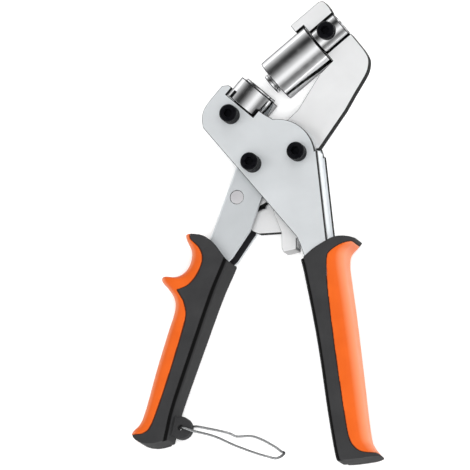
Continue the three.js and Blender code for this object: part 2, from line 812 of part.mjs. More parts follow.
const leftGripShares = {
  outer: [
    [0.265, -1.2], [0.299, -1.19], [0.337, -0.89], [0.375, -0.806], [0.41, -0.865], [0.436, -1.08],
    [0.447, -1.42], [0.464, -1.41], [0.479, -1.19], [0.503, -0.918], [0.542, -0.77], [0.62, -0.741],
    [0.743, -0.694], [0.914, -0.6], [0.968, -0.747], [1.01, -0.78],
  ],
  inner: [
    [0.265, 0.27], [0.35, 0.25], [0.45, 0.206], [0.64, 0.22], [0.84, 0.25], [0.93, 0.33], [1.01, 0.42],
  ],
  trim: [
    [0.3, -1.6], [0.295, -1.24], [0.283, -1.0], [0.274, -0.48], [0.337, 0.24], [0.34, 0.8], [0.95, 0.8],
    [0.983, 0.13], [1, -0.15], [0.997, -0.5], [0.97, -0.8], [0.96, -1.6],
  ],
  inlayEdge: [
    [0.27, -1.03], [0.3, -0.99], [0.32, -0.635], [0.352, -0.43], [0.403, -0.424], [0.448, -0.57],
    [0.476, -0.84],
  ],
  inlayLowerEdge: [
    [0.504, -0.547], [0.547, -0.335], [0.623, -0.27], [0.779, -0.212], [0.92, -0.212], [0.959, -0.335],
    [0.975, -0.606], [0.982, -0.85],
  ],
};

const rightGripShares = {
  outer: [
    [0.26, 1.35], [0.305, 1.06], [0.334, 0.757], [0.367, 0.665], [0.414, 0.643], [0.523, 0.622],
    [0.704, 0.562], [0.911, 0.486], [0.965, 0.56], [1.01, 0.8],
  ],
  inner: [
    [0.26, -0.42], [0.336, -0.362], [0.379, -0.33], [0.542, -0.297], [0.672, -0.308], [0.828, -0.357],
    [0.958, -0.362], [1.01, -0.31],
  ],
  trim: [
    [0.34, -0.8], [0.336, -0.36], [0.308, -0.065], [0.29, 0.308], [0.279, 0.557], [0.285, 0.8],
    [0.302, 1.06], [0.33, 1.6], [1.0, 1.6], [0.998, 0.3], [0.992, -0.34], [0.985, -0.8],
  ],
  inlayEdge: [
    [0.309, 1.4], [0.307, 1], [0.311, 0.66], [0.326, 0.362], [0.345, 0.281], [0.425, 0.178], [0.554, 0.108],
    [0.735, 0.049], [0.907, 0.027], [0.957, 0.13], [0.98, 0.38], [0.986, 0.75], [0.987, 1.4],
  ],
  inlayLowerEdge: [],
};

// How far the sections run past the foot, and how far out the area of the inlay reaches.
const bodyEndShare = 1.005;
const inlayOutsideShare = 1.6;

function gripFromShares(shares, length, width, place) {
  const scale = (points) => fromShares(points, length, width);
  const edges = [shares.inlayEdge, shares.inlayLowerEdge].filter((edge) => edge.length > 0);
  const outside = Math.sign(shares.outer[0][1]) * inlayOutsideShare * width;
  const boundary = edges.flatMap((edge) => smoothTable(scale(edge), edgeStepsPerPoint));
  const first = boundary[0];
  const last = boundary[boundary.length - 1];
  return {
    place,
    length: length * bodyEndShare,
    outer: scale(shares.outer),
    inner: scale(shares.inner),
    trim: scale(shares.trim),
    inlay: [...boundary, [last[0], outside], [first[0], outside]],
  };
}

const leftGrip = gripFromShares(leftGripShares, leftGripLength, leftGripWidth, inLeftHandle);
const rightGrip = gripFromShares(rightGripShares, rightGripLength, rightGripWidth, inRightHandle);

function rightRoom() {
  return room(rightChannelOutline(), channelOuter).add(room(plateOutline(), plateOuter));
}

// The lug that carries the bail stands on the left grip's inner side.
function withLug(core) {
  const reach = lugThickness / 2;
  return core
    .add(rod(lugCenter, lugDiameter, -reach, reach))
    .subtract(rod(lugCenter, lugHoleDiameter, -gripTopThickness, gripTopThickness, smallSides));
}

// Wire bail: a leg on each side of the lug, both ends hooked into its hole, spread wide enough to
// go over the other grip, and joined by a cross bar along z. The legs are shares of the bail's
// reach along and across it, and of its half spread in z.
const bailFrontShares = [
  [0.117, -0.03, 0.36], [0.36, -0.089, 0.5], [0.601, -0.189, 0.8], [0.85, -0.274, 1], [0.955, -0.3, 1],
];
const bailBackShares = [
  [0.955, -0.176, 1], [0.903, -0.138, 1], [0.665, -0.032, 1], [0.501, -0.041, 0.83], [0.467, -0.028, 0.42],
  [0.235, 0.017, 0.36], [0.095, 0.033, 0.36],
];
const bailBarShares = [-0.306, -0.194];
const bailAngle = THREE.MathUtils.degToRad(-3.5);
const bailSides = 8;
const bailStepsPerPoint = 4;

function wireBail() {
  const side = lugThickness / 2 + runningGap + wireDiameter / 2;
  const inside = runningGap / 2 + wireDiameter / 2;
  const half = bailSpread / 2;
  const place = (along, across, z) => {
    const point = inFrame(lugCenter, bailAngle, along, across);
    return new THREE.Vector3(point.x, point.y, z);
  };
  const leg = (shares, sign) => shares.map(([along, across, rise]) => (
    place(along * bailReach, across * bailReach, sign * Math.max(rise * half, side))
  ));
  const points = [
    place(0, 0, inside),
    place(0, 0, side - wireDiameter),
    place(wireDiameter, 0, side),
    ...leg(bailFrontShares, 1),
    place(bailReach, bailBarShares[0] * bailReach, half - bailCorner),
    place(bailReach, bailBarShares[1] * bailReach, bailCorner - half),
    ...leg(bailBackShares, -1),
    place(wireDiameter, 0, -side),
    place(0, 0, wireDiameter - side),
    place(0, 0, -inside),
  ];
  const steps = bailStepsPerPoint * points.length;
  return node('wire_bail', tube(points, wireDiameter, bailSides, steps), springSteel);
}

const leftRoom = room(leftChannelOutline(), channelOuter);

const parts = [
  sidePlate('front_side_plate', plateInner, plateOuter),
  sidePlate('rear_side_plate', -plateOuter, -plateInner),
  leftHandleChannel(),
  rightHandleChannel(),
  lowerDie(),
  lowerDieHolder(),
  socketBolt('lower_die_bolt', dieBoltPlace, boltDiameter, plateOuter, dieBoltHeadHeight, boltFoot()),
  socketBolt('handle_pivot_bolt', handlePivot, boltDiameter, plateOuter, handleBoltHeadHeight, boltFoot()),
  socketBolt('jaw_pivot_bolt', jawPivot, boltDiameter, plateOuter, jawBoltHeadHeight, boltFoot()),
  bush('handle_pivot_bush', handlePivot),
  bush('jaw_pivot_bush', jawPivot),
  upperDie(),
  punchTip(),
  upperDieHolder(),
  upperDieScrew(),
  jawArm(),
  jawNose(),
  jawWasher('front_jaw_washer', 1),
  jawWasher('rear_jaw_washer', -1),
  driveRivet(),
  returnSpring(),
  springPin(),
  tailGuide(),
  ...gripPieces(leftGrip, 'left_grip_core', 'left_grip_inlay', leftRoom, withLug),
  ...gripPieces(rightGrip, 'right_grip_core', 'right_grip_inlay', rightRoom()),
  wireBail(),
];

const pliers = new THREE.Group();
pliers.add(...parts);
const box = new THREE.Box3().setFromObject(pliers);
pliers.position.set(-(box.min.x + box.max.x) / 2, -(box.min.y + box.max.y) / 2, -box.min.z);

export default pliers;
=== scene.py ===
"""Eyelet pliers: turned dies, screws and bushes, sheet-metal parts with eased edges, moulded grips
with soft inlays, a wire bail, and plain studio light. All pieces are in metres, in the frame's own place.
"""
import json
import math

import bmesh
import bpy
import numpy as np
from mathutils import Matrix, Vector


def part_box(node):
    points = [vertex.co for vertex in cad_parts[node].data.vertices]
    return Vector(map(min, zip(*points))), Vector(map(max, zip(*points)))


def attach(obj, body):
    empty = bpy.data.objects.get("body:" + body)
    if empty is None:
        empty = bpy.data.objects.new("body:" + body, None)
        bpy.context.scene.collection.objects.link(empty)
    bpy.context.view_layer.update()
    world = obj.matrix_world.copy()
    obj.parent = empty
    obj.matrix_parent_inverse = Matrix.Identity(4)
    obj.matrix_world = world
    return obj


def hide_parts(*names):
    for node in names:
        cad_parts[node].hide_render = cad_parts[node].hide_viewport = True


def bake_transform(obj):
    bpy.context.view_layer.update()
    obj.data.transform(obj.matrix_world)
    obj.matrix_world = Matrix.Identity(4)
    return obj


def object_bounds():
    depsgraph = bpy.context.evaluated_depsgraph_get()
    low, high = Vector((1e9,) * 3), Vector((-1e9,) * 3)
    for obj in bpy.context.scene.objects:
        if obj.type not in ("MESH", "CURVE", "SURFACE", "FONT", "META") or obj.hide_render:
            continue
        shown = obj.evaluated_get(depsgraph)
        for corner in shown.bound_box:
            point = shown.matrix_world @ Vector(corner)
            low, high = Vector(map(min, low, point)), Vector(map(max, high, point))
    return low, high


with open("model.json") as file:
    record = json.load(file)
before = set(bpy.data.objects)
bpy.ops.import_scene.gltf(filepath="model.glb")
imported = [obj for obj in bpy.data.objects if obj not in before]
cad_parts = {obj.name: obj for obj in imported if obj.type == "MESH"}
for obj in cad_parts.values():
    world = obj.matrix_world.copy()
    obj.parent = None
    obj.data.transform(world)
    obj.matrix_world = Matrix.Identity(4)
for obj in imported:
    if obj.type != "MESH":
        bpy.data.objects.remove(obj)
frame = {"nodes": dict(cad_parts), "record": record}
cad_low, cad_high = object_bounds()

MM = 0.001
BODY_OF = {node: body for body, nodes in frame["record"]["behaviour"]["bodies"].items() for node in nodes}

# Places that the frame gives: the two pivots, the middle of the body's thickness and the channels' reach


def centre(node):
    low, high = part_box(node)
    return (low + high) / 2


JAW_PIVOT = centre("jaw_pivot_bush")
HANDLE_PIVOT = centre("handle_pivot_bush")
MIDDLE = JAW_PIVOT.z
UP = Vector((0, 0, 1))

CHANNEL_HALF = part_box("left_handle_channel")[1].z - MIDDLE

# Directions in the tool's plane, and the dies' sizes in millimetres along and across their axis
DIE_ANGLE = math.radians(48.7)
OPEN_DIE_ANGLE = DIE_ANGLE - math.radians(10.4)
HANDLE_ANGLE = math.radians(249.4)
RIGHT_HANDLE_ANGLE = math.radians(279.66)
DIE_REACH = 37.8
DIE_DIAMETER = 21.8
DIE_SEAT = -0.8
LOWER_DIE_HEIGHT = 11.4
RING_HEIGHT = 1.2
RING_DIAMETER = 17
BORE_DIAMETER = 11
BORE_DEPTH = 7
LOWER_STEM = 10
LOWER_STEM_LENGTH = 12
FACE_GAP = 0.8
UPPER_DIE_LENGTH = 27
UPPER_STEM = 7.4
PUNCH_DIAMETER = 10
PUNCH_LENGTH = 2.8
PUNCH_GROOVE = 0.5
HOLDER_DIAMETER = 13.4
HOLDER_LENGTH = 14.4
CLEARANCE = 0.3
EDGE = 0.5

# Screws and pins in millimetres
HEAD_DIAMETER = 8.6
BOLT_DIAMETER = 5
SOCKET_WIDTH = 4
SOCKET_DEPTH = 3.5
DIE_SCREW_DIAMETER = 4
BUSH_DIAMETER = 7
THREAD_PITCH = 1.25
THREAD_DEPTH = 0.35
# One thread groove: shares of the pitch, and 1 on its crest or 0 in its root
THREAD_SHAPE = ((0, 1), (0.3, 1), (0.65, 0), (1, 1))
HEAD_HEIGHTS = {
    "handle_pivot_bolt": 7.5,
    "jaw_pivot_bolt": 5.8,
    "lower_die_bolt": 6.5,
    "upper_die_screw": 4,
}
SPRING_POST_DIAMETER = 4
RIVET_SHANK_RADIUS = 2.5
RIVET_HEAD_RADIUS = 3.2
RIVET_HEAD_THICKNESS = 1.7
RIVET_RIM = 0.45

# How finely round and moulded pieces are made
ROUND_STEPS = 96
FINE_STEPS = 48
EASE_STEPS = 3
GRIP_STATIONS = 140
CORNER_STEPS = 26
OUTLINE_STEPS = 12
INLAY_STEPS = 5
TRIM_STEPS = 6
WIRE_LEVELS = 1
GRIP_VOXEL = 0.34 * MM
SOFTEN_SHARE = 0.5
SOFTEN_TIMES = 4
WELD = 0.002 * MM
LARGEST_FACE_WINS = 100
SHARP_ANGLE = math.radians(32)
FLAT_ANGLE = math.radians(0.4)

# Eased edges and the channels' folds. A fold starts and a web lies so many millimetres along and
# across its handle.
EASED_EDGE = 0.45 * MM
EDGE_STEPS = 2
EDGE_FULLNESS = 0.55
FOLD_RADIUS = 1.5 * MM
FOLD_STEPS = 5
FOLD_RUN = 8 * MM
FOLD_SLACK = 0.1
LEFT_FOLD_START = 4
RIGHT_FOLD_START = 3
LEFT_WEB_ACROSS = -6
RIGHT_WEB_ACROSS = 2.5


def heading(angle):
    return Vector((math.cos(angle), math.sin(angle), 0))


def sideways(angle):
    return Vector((-math.sin(angle), math.cos(angle), 0))


def inside(angle, origin, along, across, z=0.0):
    """A point given in millimetres along and across a heading in the tool's plane."""
    return origin + (heading(angle) * along + sideways(angle) * across + UP * z) * MM


# Mesh tools


def to_object(name, mesh):
    piece = bpy.data.objects.new(name, mesh)
    bpy.context.scene.collection.objects.link(piece)
    return piece


def smooth_shading(piece):
    piece.data.shade_smooth()
    piece.data.set_sharp_from_angle(angle=SHARP_ANGLE)


def finish_bmesh(bm, name):
    bmesh.ops.recalc_face_normals(bm, faces=bm.faces)
    mesh = bpy.data.meshes.new(name)
    bm.to_mesh(mesh)
    bm.free()
    piece = to_object(name, mesh)
    smooth_shading(piece)
    return piece


def dressed(piece, node, material):
    """The piece stands for the node, in its place, on its body and with its material slot."""
    piece.data.materials.clear()
    piece.data.materials.append(material)
    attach(piece, BODY_OF[node])
    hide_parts(node)
    return piece


def evaluated(piece):
    """The piece's mesh is replaced by what its modifiers make of it."""
    bpy.context.view_layer.update()
    graph = bpy.context.evaluated_depsgraph_get()
    made = bpy.data.meshes.new_from_object(piece.evaluated_get(graph))
    piece.modifiers.clear()
    piece.data = made
    return piece


def cut(piece, cutter, operation="DIFFERENCE"):
    modifier = piece.modifiers.new("cut", "BOOLEAN")
    modifier.operation = operation
    modifier.solver = "EXACT"
    modifier.object = cutter
    evaluated(piece)
    return piece


def discard(piece):
    bpy.data.objects.remove(piece)


def lathe(name, profile, origin, axis, steps=ROUND_STEPS):
    """A closed profile of [along, radius] points, in millimetres, turned about an axis."""
    axis = axis.normalized()
    upright = abs(axis.z) > 0.9
    side = axis.cross(Vector((1, 0, 0)) if upright else UP).normalized()
    other = axis.cross(side)
    bm = bmesh.new()
    rings = []
    for along, radius in profile:
        if radius == 0:
            rings.append([bm.verts.new(origin + axis * along * MM)])
            continue
        ring = []
        for i in range(steps):
            turn = 2 * math.pi * i / steps
            offset = side * math.cos(turn) + other * math.sin(turn)
            ring.append(bm.verts.new(origin + (axis * along + offset * radius) * MM))
        rings.append(ring)
    closed = profile[0][1] != 0
    for i in range(len(rings) if closed else len(rings) - 1):
        join_rings(bm, rings[i], rings[(i + 1) % len(rings)], steps)
    return finish_bmesh(bm, name)


def join_rings(bm, first, second, steps):
    for i in range(steps):
        j = (i + 1) % steps
        if len(first) == 1 and len(second) == 1:
            return
        if len(first) == 1:
            bm.faces.new((first[0], second[i], second[j]))
        elif len(second) == 1:
            bm.faces.new((first[i], first[j], second[0]))
        else:
            bm.faces.new((first[i], first[j], second[j], second[i]))


def bend(start, corner, end, t):
    """A point of the curve that leaves start towards the corner and arrives at end from it."""
    return start * (1 - t) ** 2 + corner * 2 * t * (1 - t) + end * t * t


def eased(profile, edge):
    """The profile with each corner between two long runs cut back to a small round."""
    made = []
    count = len(profile)
    for i, point in enumerate(profile):
        here = Vector(point)
        if here.y == 0 or i in (0, count - 1):
            made.append(tuple(here))
            continue
        before = Vector(profile[i - 1]) - here
        after = Vector(profile[i + 1]) - here
        reach = min(edge, before.length / 3, after.length / 3)
        start = here + before.normalized() * reach
        end = here + after.normalized() * reach
        for step in range(EASE_STEPS + 1):
            made.append(tuple(bend(start, here, end, step / EASE_STEPS)))
    return made


def prism(name, outline, low, high):
    """A flat outline of points in metres pulled up between two heights in metres."""
    bm = bmesh.new()
    lower = [bm.verts.new((point.x, point.y, low)) for point in outline]
    upper = [bm.verts.new((point.x, point.y, high)) for point in outline]
    count = len(outline)
    bm.faces.new(lower)
    bm.faces.new(upper)
    for i in range(count):
        j = (i + 1) % count
        bm.faces.new((lower[i], lower[j], upper[j], upper[i]))
    return finish_bmesh(bm, name)


def welded(node):
    """A node's own mesh, with its doubled points joined."""
    bm = bmesh.new()
    bm.from_mesh(frame["nodes"][node].data)
    bmesh.ops.remove_doubles(bm, verts=bm.verts, dist=WELD)
    return bm


def flat_faces(piece):
    """The large faces shade flat, and their narrow rounded edges take up the turn."""
    piece.data.shade_smooth()
    weighted = piece.modifiers.new("flat_faces", "WEIGHTED_NORMAL")
    weighted.mode = "FACE_AREA"
    weighted.weight = LARGEST_FACE_WINS
    weighted.keep_sharp = False


def sheet_part(node, material, fold=None, full_from=None):
    """A sheet-metal node with its folds rounded and its long edges eased.

    From full_from on along the tool the eased edges have their full width. Elsewhere they stay
    narrower than the shortest edge beside them.
    """
    bm = welded(node)
    bmesh.ops.dissolve_limit(bm, angle_limit=FLAT_ANGLE, verts=bm.verts, edges=bm.edges)
    if fold:
        round_fold(bm, *fold)
    sharp = [e for e in bm.edges if len(e.link_faces) == 2 and e.calc_face_angle(0) > SHARP_ANGLE]
    if full_from is not None:
        full = {e for e in sharp if all(vertex.co.y > full_from for vertex in e.verts)}
        sharp = [e for e in sharp if e not in full]
        round_edges(bm, list(full), EASED_EDGE, EDGE_STEPS, clamp=False)
        sharp = [e for e in sharp if e.is_valid]
    if sharp:
        round_edges(bm, sharp, EASED_EDGE, EDGE_STEPS)
    piece = finish_bmesh(bm, node + "_metal")
    flat_faces(piece)
    return dressed(piece, node, material)


def round_edges(bm, edges, radius, steps, clamp=True):
    bmesh.ops.bevel(
        bm,
        geom=edges,
        offset=radius,
        segments=steps,
        profile=EDGE_FULLNESS,
        affect="EDGES",
        clamp_overlap=clamp,
    )


def round_fold(bm, origin, angle, start, is_web):
    """Rounds the two long edges where a channel's cheeks turn into its web, from a cross line on."""
    forward = heading(angle)
    side = sideways(angle)
    everything = [*bm.verts, *bm.edges, *bm.faces]
    cross_line = origin + forward * start * MM
    bmesh.ops.bisect_plane(bm, geom=everything, plane_co=cross_line, plane_no=forward)

    def is_fold(edge):
        ends = [vertex.co - origin for vertex in edge.verts]
        run = abs((ends[0] - ends[1]).dot(forward))
        outside = all(abs(end.z) > CHANNEL_HALF - FOLD_SLACK * MM for end in ends)
        beyond = all(end.dot(forward) > (start - FOLD_SLACK) * MM for end in ends)
        on_web = all(is_web(end.dot(side) / MM) for end in ends)
        return outside and beyond and on_web and run > FOLD_RUN

    round_edges(bm, [edge for edge in bm.edges if is_fold(edge)], FOLD_RADIUS, FOLD_STEPS, clamp=False)


# Materials

# Where noise is mapped to colors and roughness, and how sheet metal, chrome, oxide and plastic vary
TINT_SPAN = (0.32, 0.68)
ROUGH_SPAN = (0.3, 0.7)
SHEET_METALLIC = 0.7
SHEET_CLOUDS = 70
SHEET_TINT = 0.03
SHEET_SMOOTHER = 0.02
SHEET_ROUGHER = 0.03
MARKS = 900
MARKS_STRETCH = (0.06, 1.6, 1.6)
MARKS_BUMP = (0.03, 0.02 * MM)
HAZE = 260
HAZE_TINT = 0.96
HAZE_ROUGH = (0.6, 1.7)
OXIDE_GRAIN = 2600
OXIDE_CLOUDS = 420
OXIDE_BUMP = (0.15, 0.03 * MM)
OXIDE_ROUGH = (0.22, 0.36)
OXIDE_GLOSS = 0.09
PLASTIC_GRAIN = 2200
PLASTIC_CLOUDS = 90
PLASTIC_BUMP = (0.35, 0.05 * MM)
PLASTIC_ROUGH_RANGE = 0.06

# Where painted shade, a painted highlight and darker cut sides change a piece's color: shares of its
# normal's parts, and places in metres
CUT_AND_SHADE_SPAN = (0.88, 0.995)
INSIDE_FROM_MIDDLE = 3 * MM
JOINT_SHADE_WIDTH = 2.6 * MM
JOINT_SHADE_FADE = 5.5 * MM
WEB_LEAN = 0.9
PAINTED_RIM_LEAN = 0.58
PAINTED_RIM_SPAN = 0.37
HIGHLIGHT_SPAN = (0.42, 0.98)
HIGHLIGHT_MOST = 0.8
SEAM_SHADE_SPAN = (0.15, 0.5)
SEAM_SHADE_MOST = 0.9
GROOVE_MARK = "groove"

# Colors, and how much of the reflection is left at a grazing view
PLATE_COLOR = (0.83, 0.86, 0.88)
CHANNEL_COLOR = (0.72, 0.75, 0.77)
ARM_COLOR = (0.95, 0.955, 0.96)
RIVET_COLOR = (0.70, 0.69, 0.71)
CHROME_COLOR = (0.90, 0.905, 0.915)
WIRE_COLOR = (0.36, 0.365, 0.37)
# Cut-side colors: partly the tone of bare cut steel, partly painted shade along the sheets' sides and edges
PLATE_CUT_AND_SHADE = (0.015, 0.015, 0.016)
ARM_CUT_AND_SHADE = (0.015, 0.015, 0.015)
GUIDE_CUT_AND_SHADE = (0.42, 0.42, 0.42)
RIVET_CUT_AND_SHADE = (0.02, 0.02, 0.021)
OXIDE = (0.003, 0.003, 0.004)
OXIDE_DARK = (0.002, 0.002, 0.003)
OXIDE_LIGHT = (0.004, 0.004, 0.005)
BLACK_DARK = (0.030, 0.030, 0.031)
BLACK_LIGHT = (0.037, 0.037, 0.038)
ORANGE_DARK = (0.56, 0.086, 0.008)
ORANGE_LIGHT = (0.61, 0.100, 0.010)
# Painted shade for the inside of the channels
INSIDE_SHADE_COLOR = (0.05, 0.05, 0.055)
# Painted shade under the right plate's edge, and a painted dark reflection on the chrome rims
PAINTED_DARK_LINE_COLOR = (0.03, 0.03, 0.032)
# Painted shade in the grip's long groove
GROOVE_SHADE_COLOR = (0.006, 0.006, 0.006)
# A painted highlight and a painted seam shade for the orange inlay
HIGHLIGHT_ORANGE = (0.72, 0.28, 0.14)
SEAM_SHADE_ORANGE = (0.09, 0.016, 0.006)
FULL_EDGE = (1, 1, 1)
DULL_EDGE = (0.1, 0.1, 0.1)
CHROME_EDGE = (0.08, 0.08, 0.08)


def shader(name, color, metallic, roughness):
    material = bpy.data.materials.new(name)
    material.use_nodes = True
    surface = material.node_tree.nodes["Principled BSDF"]
    surface.inputs["Base Color"].default_value = (*color, 1)
    surface.inputs["Metallic"].default_value = metallic
    surface.inputs["Roughness"].default_value = roughness
    return material, surface


def graph_of(material):
    nodes = material.node_tree.nodes
    return nodes, material.node_tree.links, nodes["Principled BSDF"]


def noise(material, scale, stretch=(1, 1, 1), turn=0.0, detail=4.0):
    """A noise in the piece's own coordinates, stretched along a direction in the tool's plane."""
    nodes, links, _ = graph_of(material)
    place = nodes.new("ShaderNodeTexCoord")
    mapping = nodes.new("ShaderNodeMapping")
    mapping.inputs["Rotation"].default_value = (0, 0, -turn)
    mapping.inputs["Scale"].default_value = stretch
    texture = nodes.new("ShaderNodeTexNoise")
    texture.inputs["Scale"].default_value = scale
    texture.inputs["Detail"].default_value = detail
    links.new(place.outputs["Object"], mapping.inputs["Vector"])
    links.new(mapping.outputs["Vector"], texture.inputs["Vector"])
    return texture.outputs["Fac"]


def math_node(nodes, links, operation, *values):
    node = nodes.new("ShaderNodeMath")
    node.operation = operation
    for socket, value in zip(node.inputs, values):
        if isinstance(value, bpy.types.NodeSocket):
            links.new(value, socket)
        else:
            socket.default_value = value
    return node.outputs["Value"]


def spanned(nodes, links, value, span, low=0.0, high=1.0, smooth=False):
    """A number from low to high, by where the value lies in the span."""
    node = nodes.new("ShaderNodeMapRange")
    if smooth:
        node.interpolation_type = "SMOOTHSTEP"
    node.inputs["From Min"].default_value = span[0]
    node.inputs["From Max"].default_value = span[1]
    node.inputs["To Min"].default_value = low
    node.inputs["To Max"].default_value = high
    links.new(value, node.inputs["Value"])
    return node.outputs["Result"]


def split(nodes, links, vector):
    node = nodes.new("ShaderNodeSeparateXYZ")
    links.new(vector, node.inputs["Vector"])
    return node.outputs


def place_and_normal(nodes, links):
    """The surface's place and direction in the piece's own coordinates, each split in X, Y and Z."""
    node = nodes.new("ShaderNodeTexCoord")
    return split(nodes, links, node.outputs["Object"]), split(nodes, links, node.outputs["Normal"])


def mixed(nodes, links, share, first, second):
    """A mix of two colors. Each is a socket or three numbers."""
    mix = nodes.new("ShaderNodeMix")
    mix.data_type = "RGBA"
    links.new(share, mix.inputs["Factor"])
    for name, color in (("A", first), ("B", second)):
        if isinstance(color, bpy.types.NodeSocket):
            links.new(color, mix.inputs[name])
        else:
            mix.inputs[name].default_value = (*color, 1)
    return mix.outputs["Result"]


def painted(material, share, color):
    """Lays a color over the surface's own, as much as the share says."""
    nodes, links, surface = graph_of(material)
    own = surface.inputs["Base Color"].links[0].from_socket
    links.new(mixed(nodes, links, share, own, color), surface.inputs["Base Color"])


def roughened(material, value, low, high):
    nodes, links, surface = graph_of(material)
    links.new(spanned(nodes, links, value, ROUGH_SPAN, low, high), surface.inputs["Roughness"])


def tinted(material, value, dark, light):
    nodes, links, surface = graph_of(material)
    ramp = nodes.new("ShaderNodeValToRGB")
    for element, position, color in zip(ramp.color_ramp.elements, TINT_SPAN, (dark, light)):
        element.position = position
        element.color = (*color, 1)
    links.new(value, ramp.inputs["Fac"])
    links.new(ramp.outputs["Color"], surface.inputs["Base Color"])


def bumped(material, value, strength, distance):
    nodes, links, surface = graph_of(material)
    bump = nodes.new("ShaderNodeBump")
    bump.inputs["Strength"].default_value = strength
    bump.inputs["Distance"].default_value = distance
    links.new(value, bump.inputs["Height"])
    links.new(bump.outputs["Normal"], surface.inputs["Normal"])


def scaled(color, factor):
    return tuple(part * factor for part in color)


def sheet_steel(name, color, turn, roughness, edge_color=None, edge_shine=FULL_EDGE):
    """Zinc-plated sheet with fine rolling marks along one direction, and its cut sides darker: partly bare
    cut steel, partly painted shade.
    """
    material, surface = shader(name, color, SHEET_METALLIC, roughness)
    surface.inputs["Specular Tint"].default_value = (*edge_shine, 1)
    marks = noise(material, MARKS, MARKS_STRETCH, turn, detail=3)
    clouds = noise(material, SHEET_CLOUDS, detail=5)
    tinted(material, clouds, scaled(color, 1 - SHEET_TINT), scaled(color, 1 + SHEET_TINT))
    roughened(material, marks, roughness - SHEET_SMOOTHER, roughness + SHEET_ROUGHER)
    bumped(material, marks, *MARKS_BUMP)
    if edge_color:
        cut_steel_and_side_shade(material, edge_color)
    return material


def cut_steel_and_side_shade(material, edge_color):
    """The sheet's cut sides, which stand along z, are darker than its plated faces: partly the tone of bare
    cut steel, partly painted shade.
    """
    nodes, links, _ = graph_of(material)
    _, normal = place_and_normal(nodes, links)
    flatness = math_node(nodes, links, "ABSOLUTE", normal["Z"])
    painted(material, spanned(nodes, links, flatness, CUT_AND_SHADE_SPAN, low=1.0, high=0.0), edge_color)


def painted_inside_shade(material):
    """The inner faces of a folded channel's cheeks are painted near black: painted shade for the dark
    inside the channel.
    """
    nodes, links, _ = graph_of(material)
    point, normal = place_and_normal(nodes, links)
    from_middle = math_node(nodes, links, "SUBTRACT", point["Z"], MIDDLE)
    outwards = math_node(nodes, links, "MULTIPLY", from_middle, normal["Z"])
    painted(material, math_node(nodes, links, "LESS_THAN", outwards, -INSIDE_FROM_MIDDLE), INSIDE_SHADE_COLOR)


def painted_joint_shade(material):
    """The top of the channel's web, close under the plate's edge, gets a painted dark line: painted shade
    where the plate's edge hangs over it.
    """
    nodes, links, _ = graph_of(material)
    point, normal = place_and_normal(nodes, links)
    top = MIDDLE + CHANNEL_HALF
    near = spanned(nodes, links, point["Z"], (top - JOINT_SHADE_FADE, top - JOINT_SHADE_WIDTH), smooth=True)
    lean = math_node(nodes, links, "ABSOLUTE", normal["Z"])
    on_web = math_node(nodes, links, "LESS_THAN", lean, WEB_LEAN)
    painted(material, math_node(nodes, links, "MULTIPLY", near, on_web), PAINTED_DARK_LINE_COLOR)


def chrome_plate(name, color, roughness=0.13):
    """Polished plating with handling haze, whose reflection sinks towards its rims."""
    material, surface = shader(name, color, 1.0, roughness)
    surface.inputs["Specular Tint"].default_value = (*CHROME_EDGE, 1)
    haze = noise(material, HAZE, detail=6)
    tinted(material, haze, scaled(color, HAZE_TINT), color)
    roughened(material, haze, *scaled(HAZE_ROUGH, roughness))
    return material


def turned_chrome(name, axis):
    """Chrome whose narrow rims, which face neither along nor across the turned piece's axis, get a painted
    dark reflection.
    """
    material = chrome_plate(name, CHROME_COLOR)
    nodes, links, _ = graph_of(material)
    place = nodes.new("ShaderNodeTexCoord")
    lean = nodes.new("ShaderNodeVectorMath")
    lean.operation = "DOT_PRODUCT"
    lean.inputs[1].default_value = axis
    links.new(place.outputs["Normal"], lean.inputs[0])
    steepness = math_node(nodes, links, "ABSOLUTE", lean.outputs["Value"])
    painted(material, math_node(nodes, links, "COMPARE", steepness, PAINTED_RIM_LEAN, PAINTED_RIM_SPAN), PAINTED_DARK_LINE_COLOR)
    return material


def black_oxide(name):
    material, surface = shader(name, OXIDE, 0.0, 0.25)
    surface.inputs["Specular IOR Level"].default_value = OXIDE_GLOSS
    grain = noise(material, OXIDE_GRAIN, detail=5)
    clouds = noise(material, OXIDE_CLOUDS, detail=3)
    tinted(material, clouds, OXIDE_DARK, OXIDE_LIGHT)
    bumped(material, grain, *OXIDE_BUMP)
    roughened(material, clouds, *OXIDE_ROUGH)
    return material


def moulded_plastic(name, dark, light, roughness, gloss):
    """Spark-eroded plastic: a fine even grain and slight shine where the hand rubs it."""
    material, surface = shader(name, light, 0.0, roughness)
    surface.inputs["Specular IOR Level"].default_value = gloss
    grain = noise(material, PLASTIC_GRAIN, detail=3)
    clouds = noise(material, PLASTIC_CLOUDS, detail=4)
    tinted(material, clouds, dark, light)
    bumped(material, grain, *PLASTIC_BUMP)
    roughened(material, clouds, roughness - PLASTIC_ROUGH_RANGE, roughness + PLASTIC_ROUGH_RANGE)
    return material


def painted_highlight_and_seam_shade(material):
    """The inlay gets a paler painted highlight on its outer side and a darker painted shade down in its
    seam.
    """
    nodes, links, _ = graph_of(material)
    point, normal = place_and_normal(nodes, links)
    side = math_node(nodes, links, "SIGN", point["X"])
    outward = math_node(nodes, links, "MULTIPLY", normal["X"], side)
    painted(material, spanned(nodes, links, outward, HIGHLIGHT_SPAN, high=HIGHLIGHT_MOST), HIGHLIGHT_ORANGE)
    inward = math_node(nodes, links, "MULTIPLY", outward, -1.0)
    painted(material, spanned(nodes, links, inward, SEAM_SHADE_SPAN, high=SEAM_SHADE_MOST), SEAM_SHADE_ORANGE)


def painted_groove_shade(material):
    """The plastic is painted near black, as painted shade, where its mesh is marked as the bottom of the
    long groove.
    """
    mark = material.node_tree.nodes.new("ShaderNodeAttribute")
    mark.attribute_name = GROOVE_MARK
    painted(material, mark.outputs["Fac"], GROOVE_SHADE_COLOR)


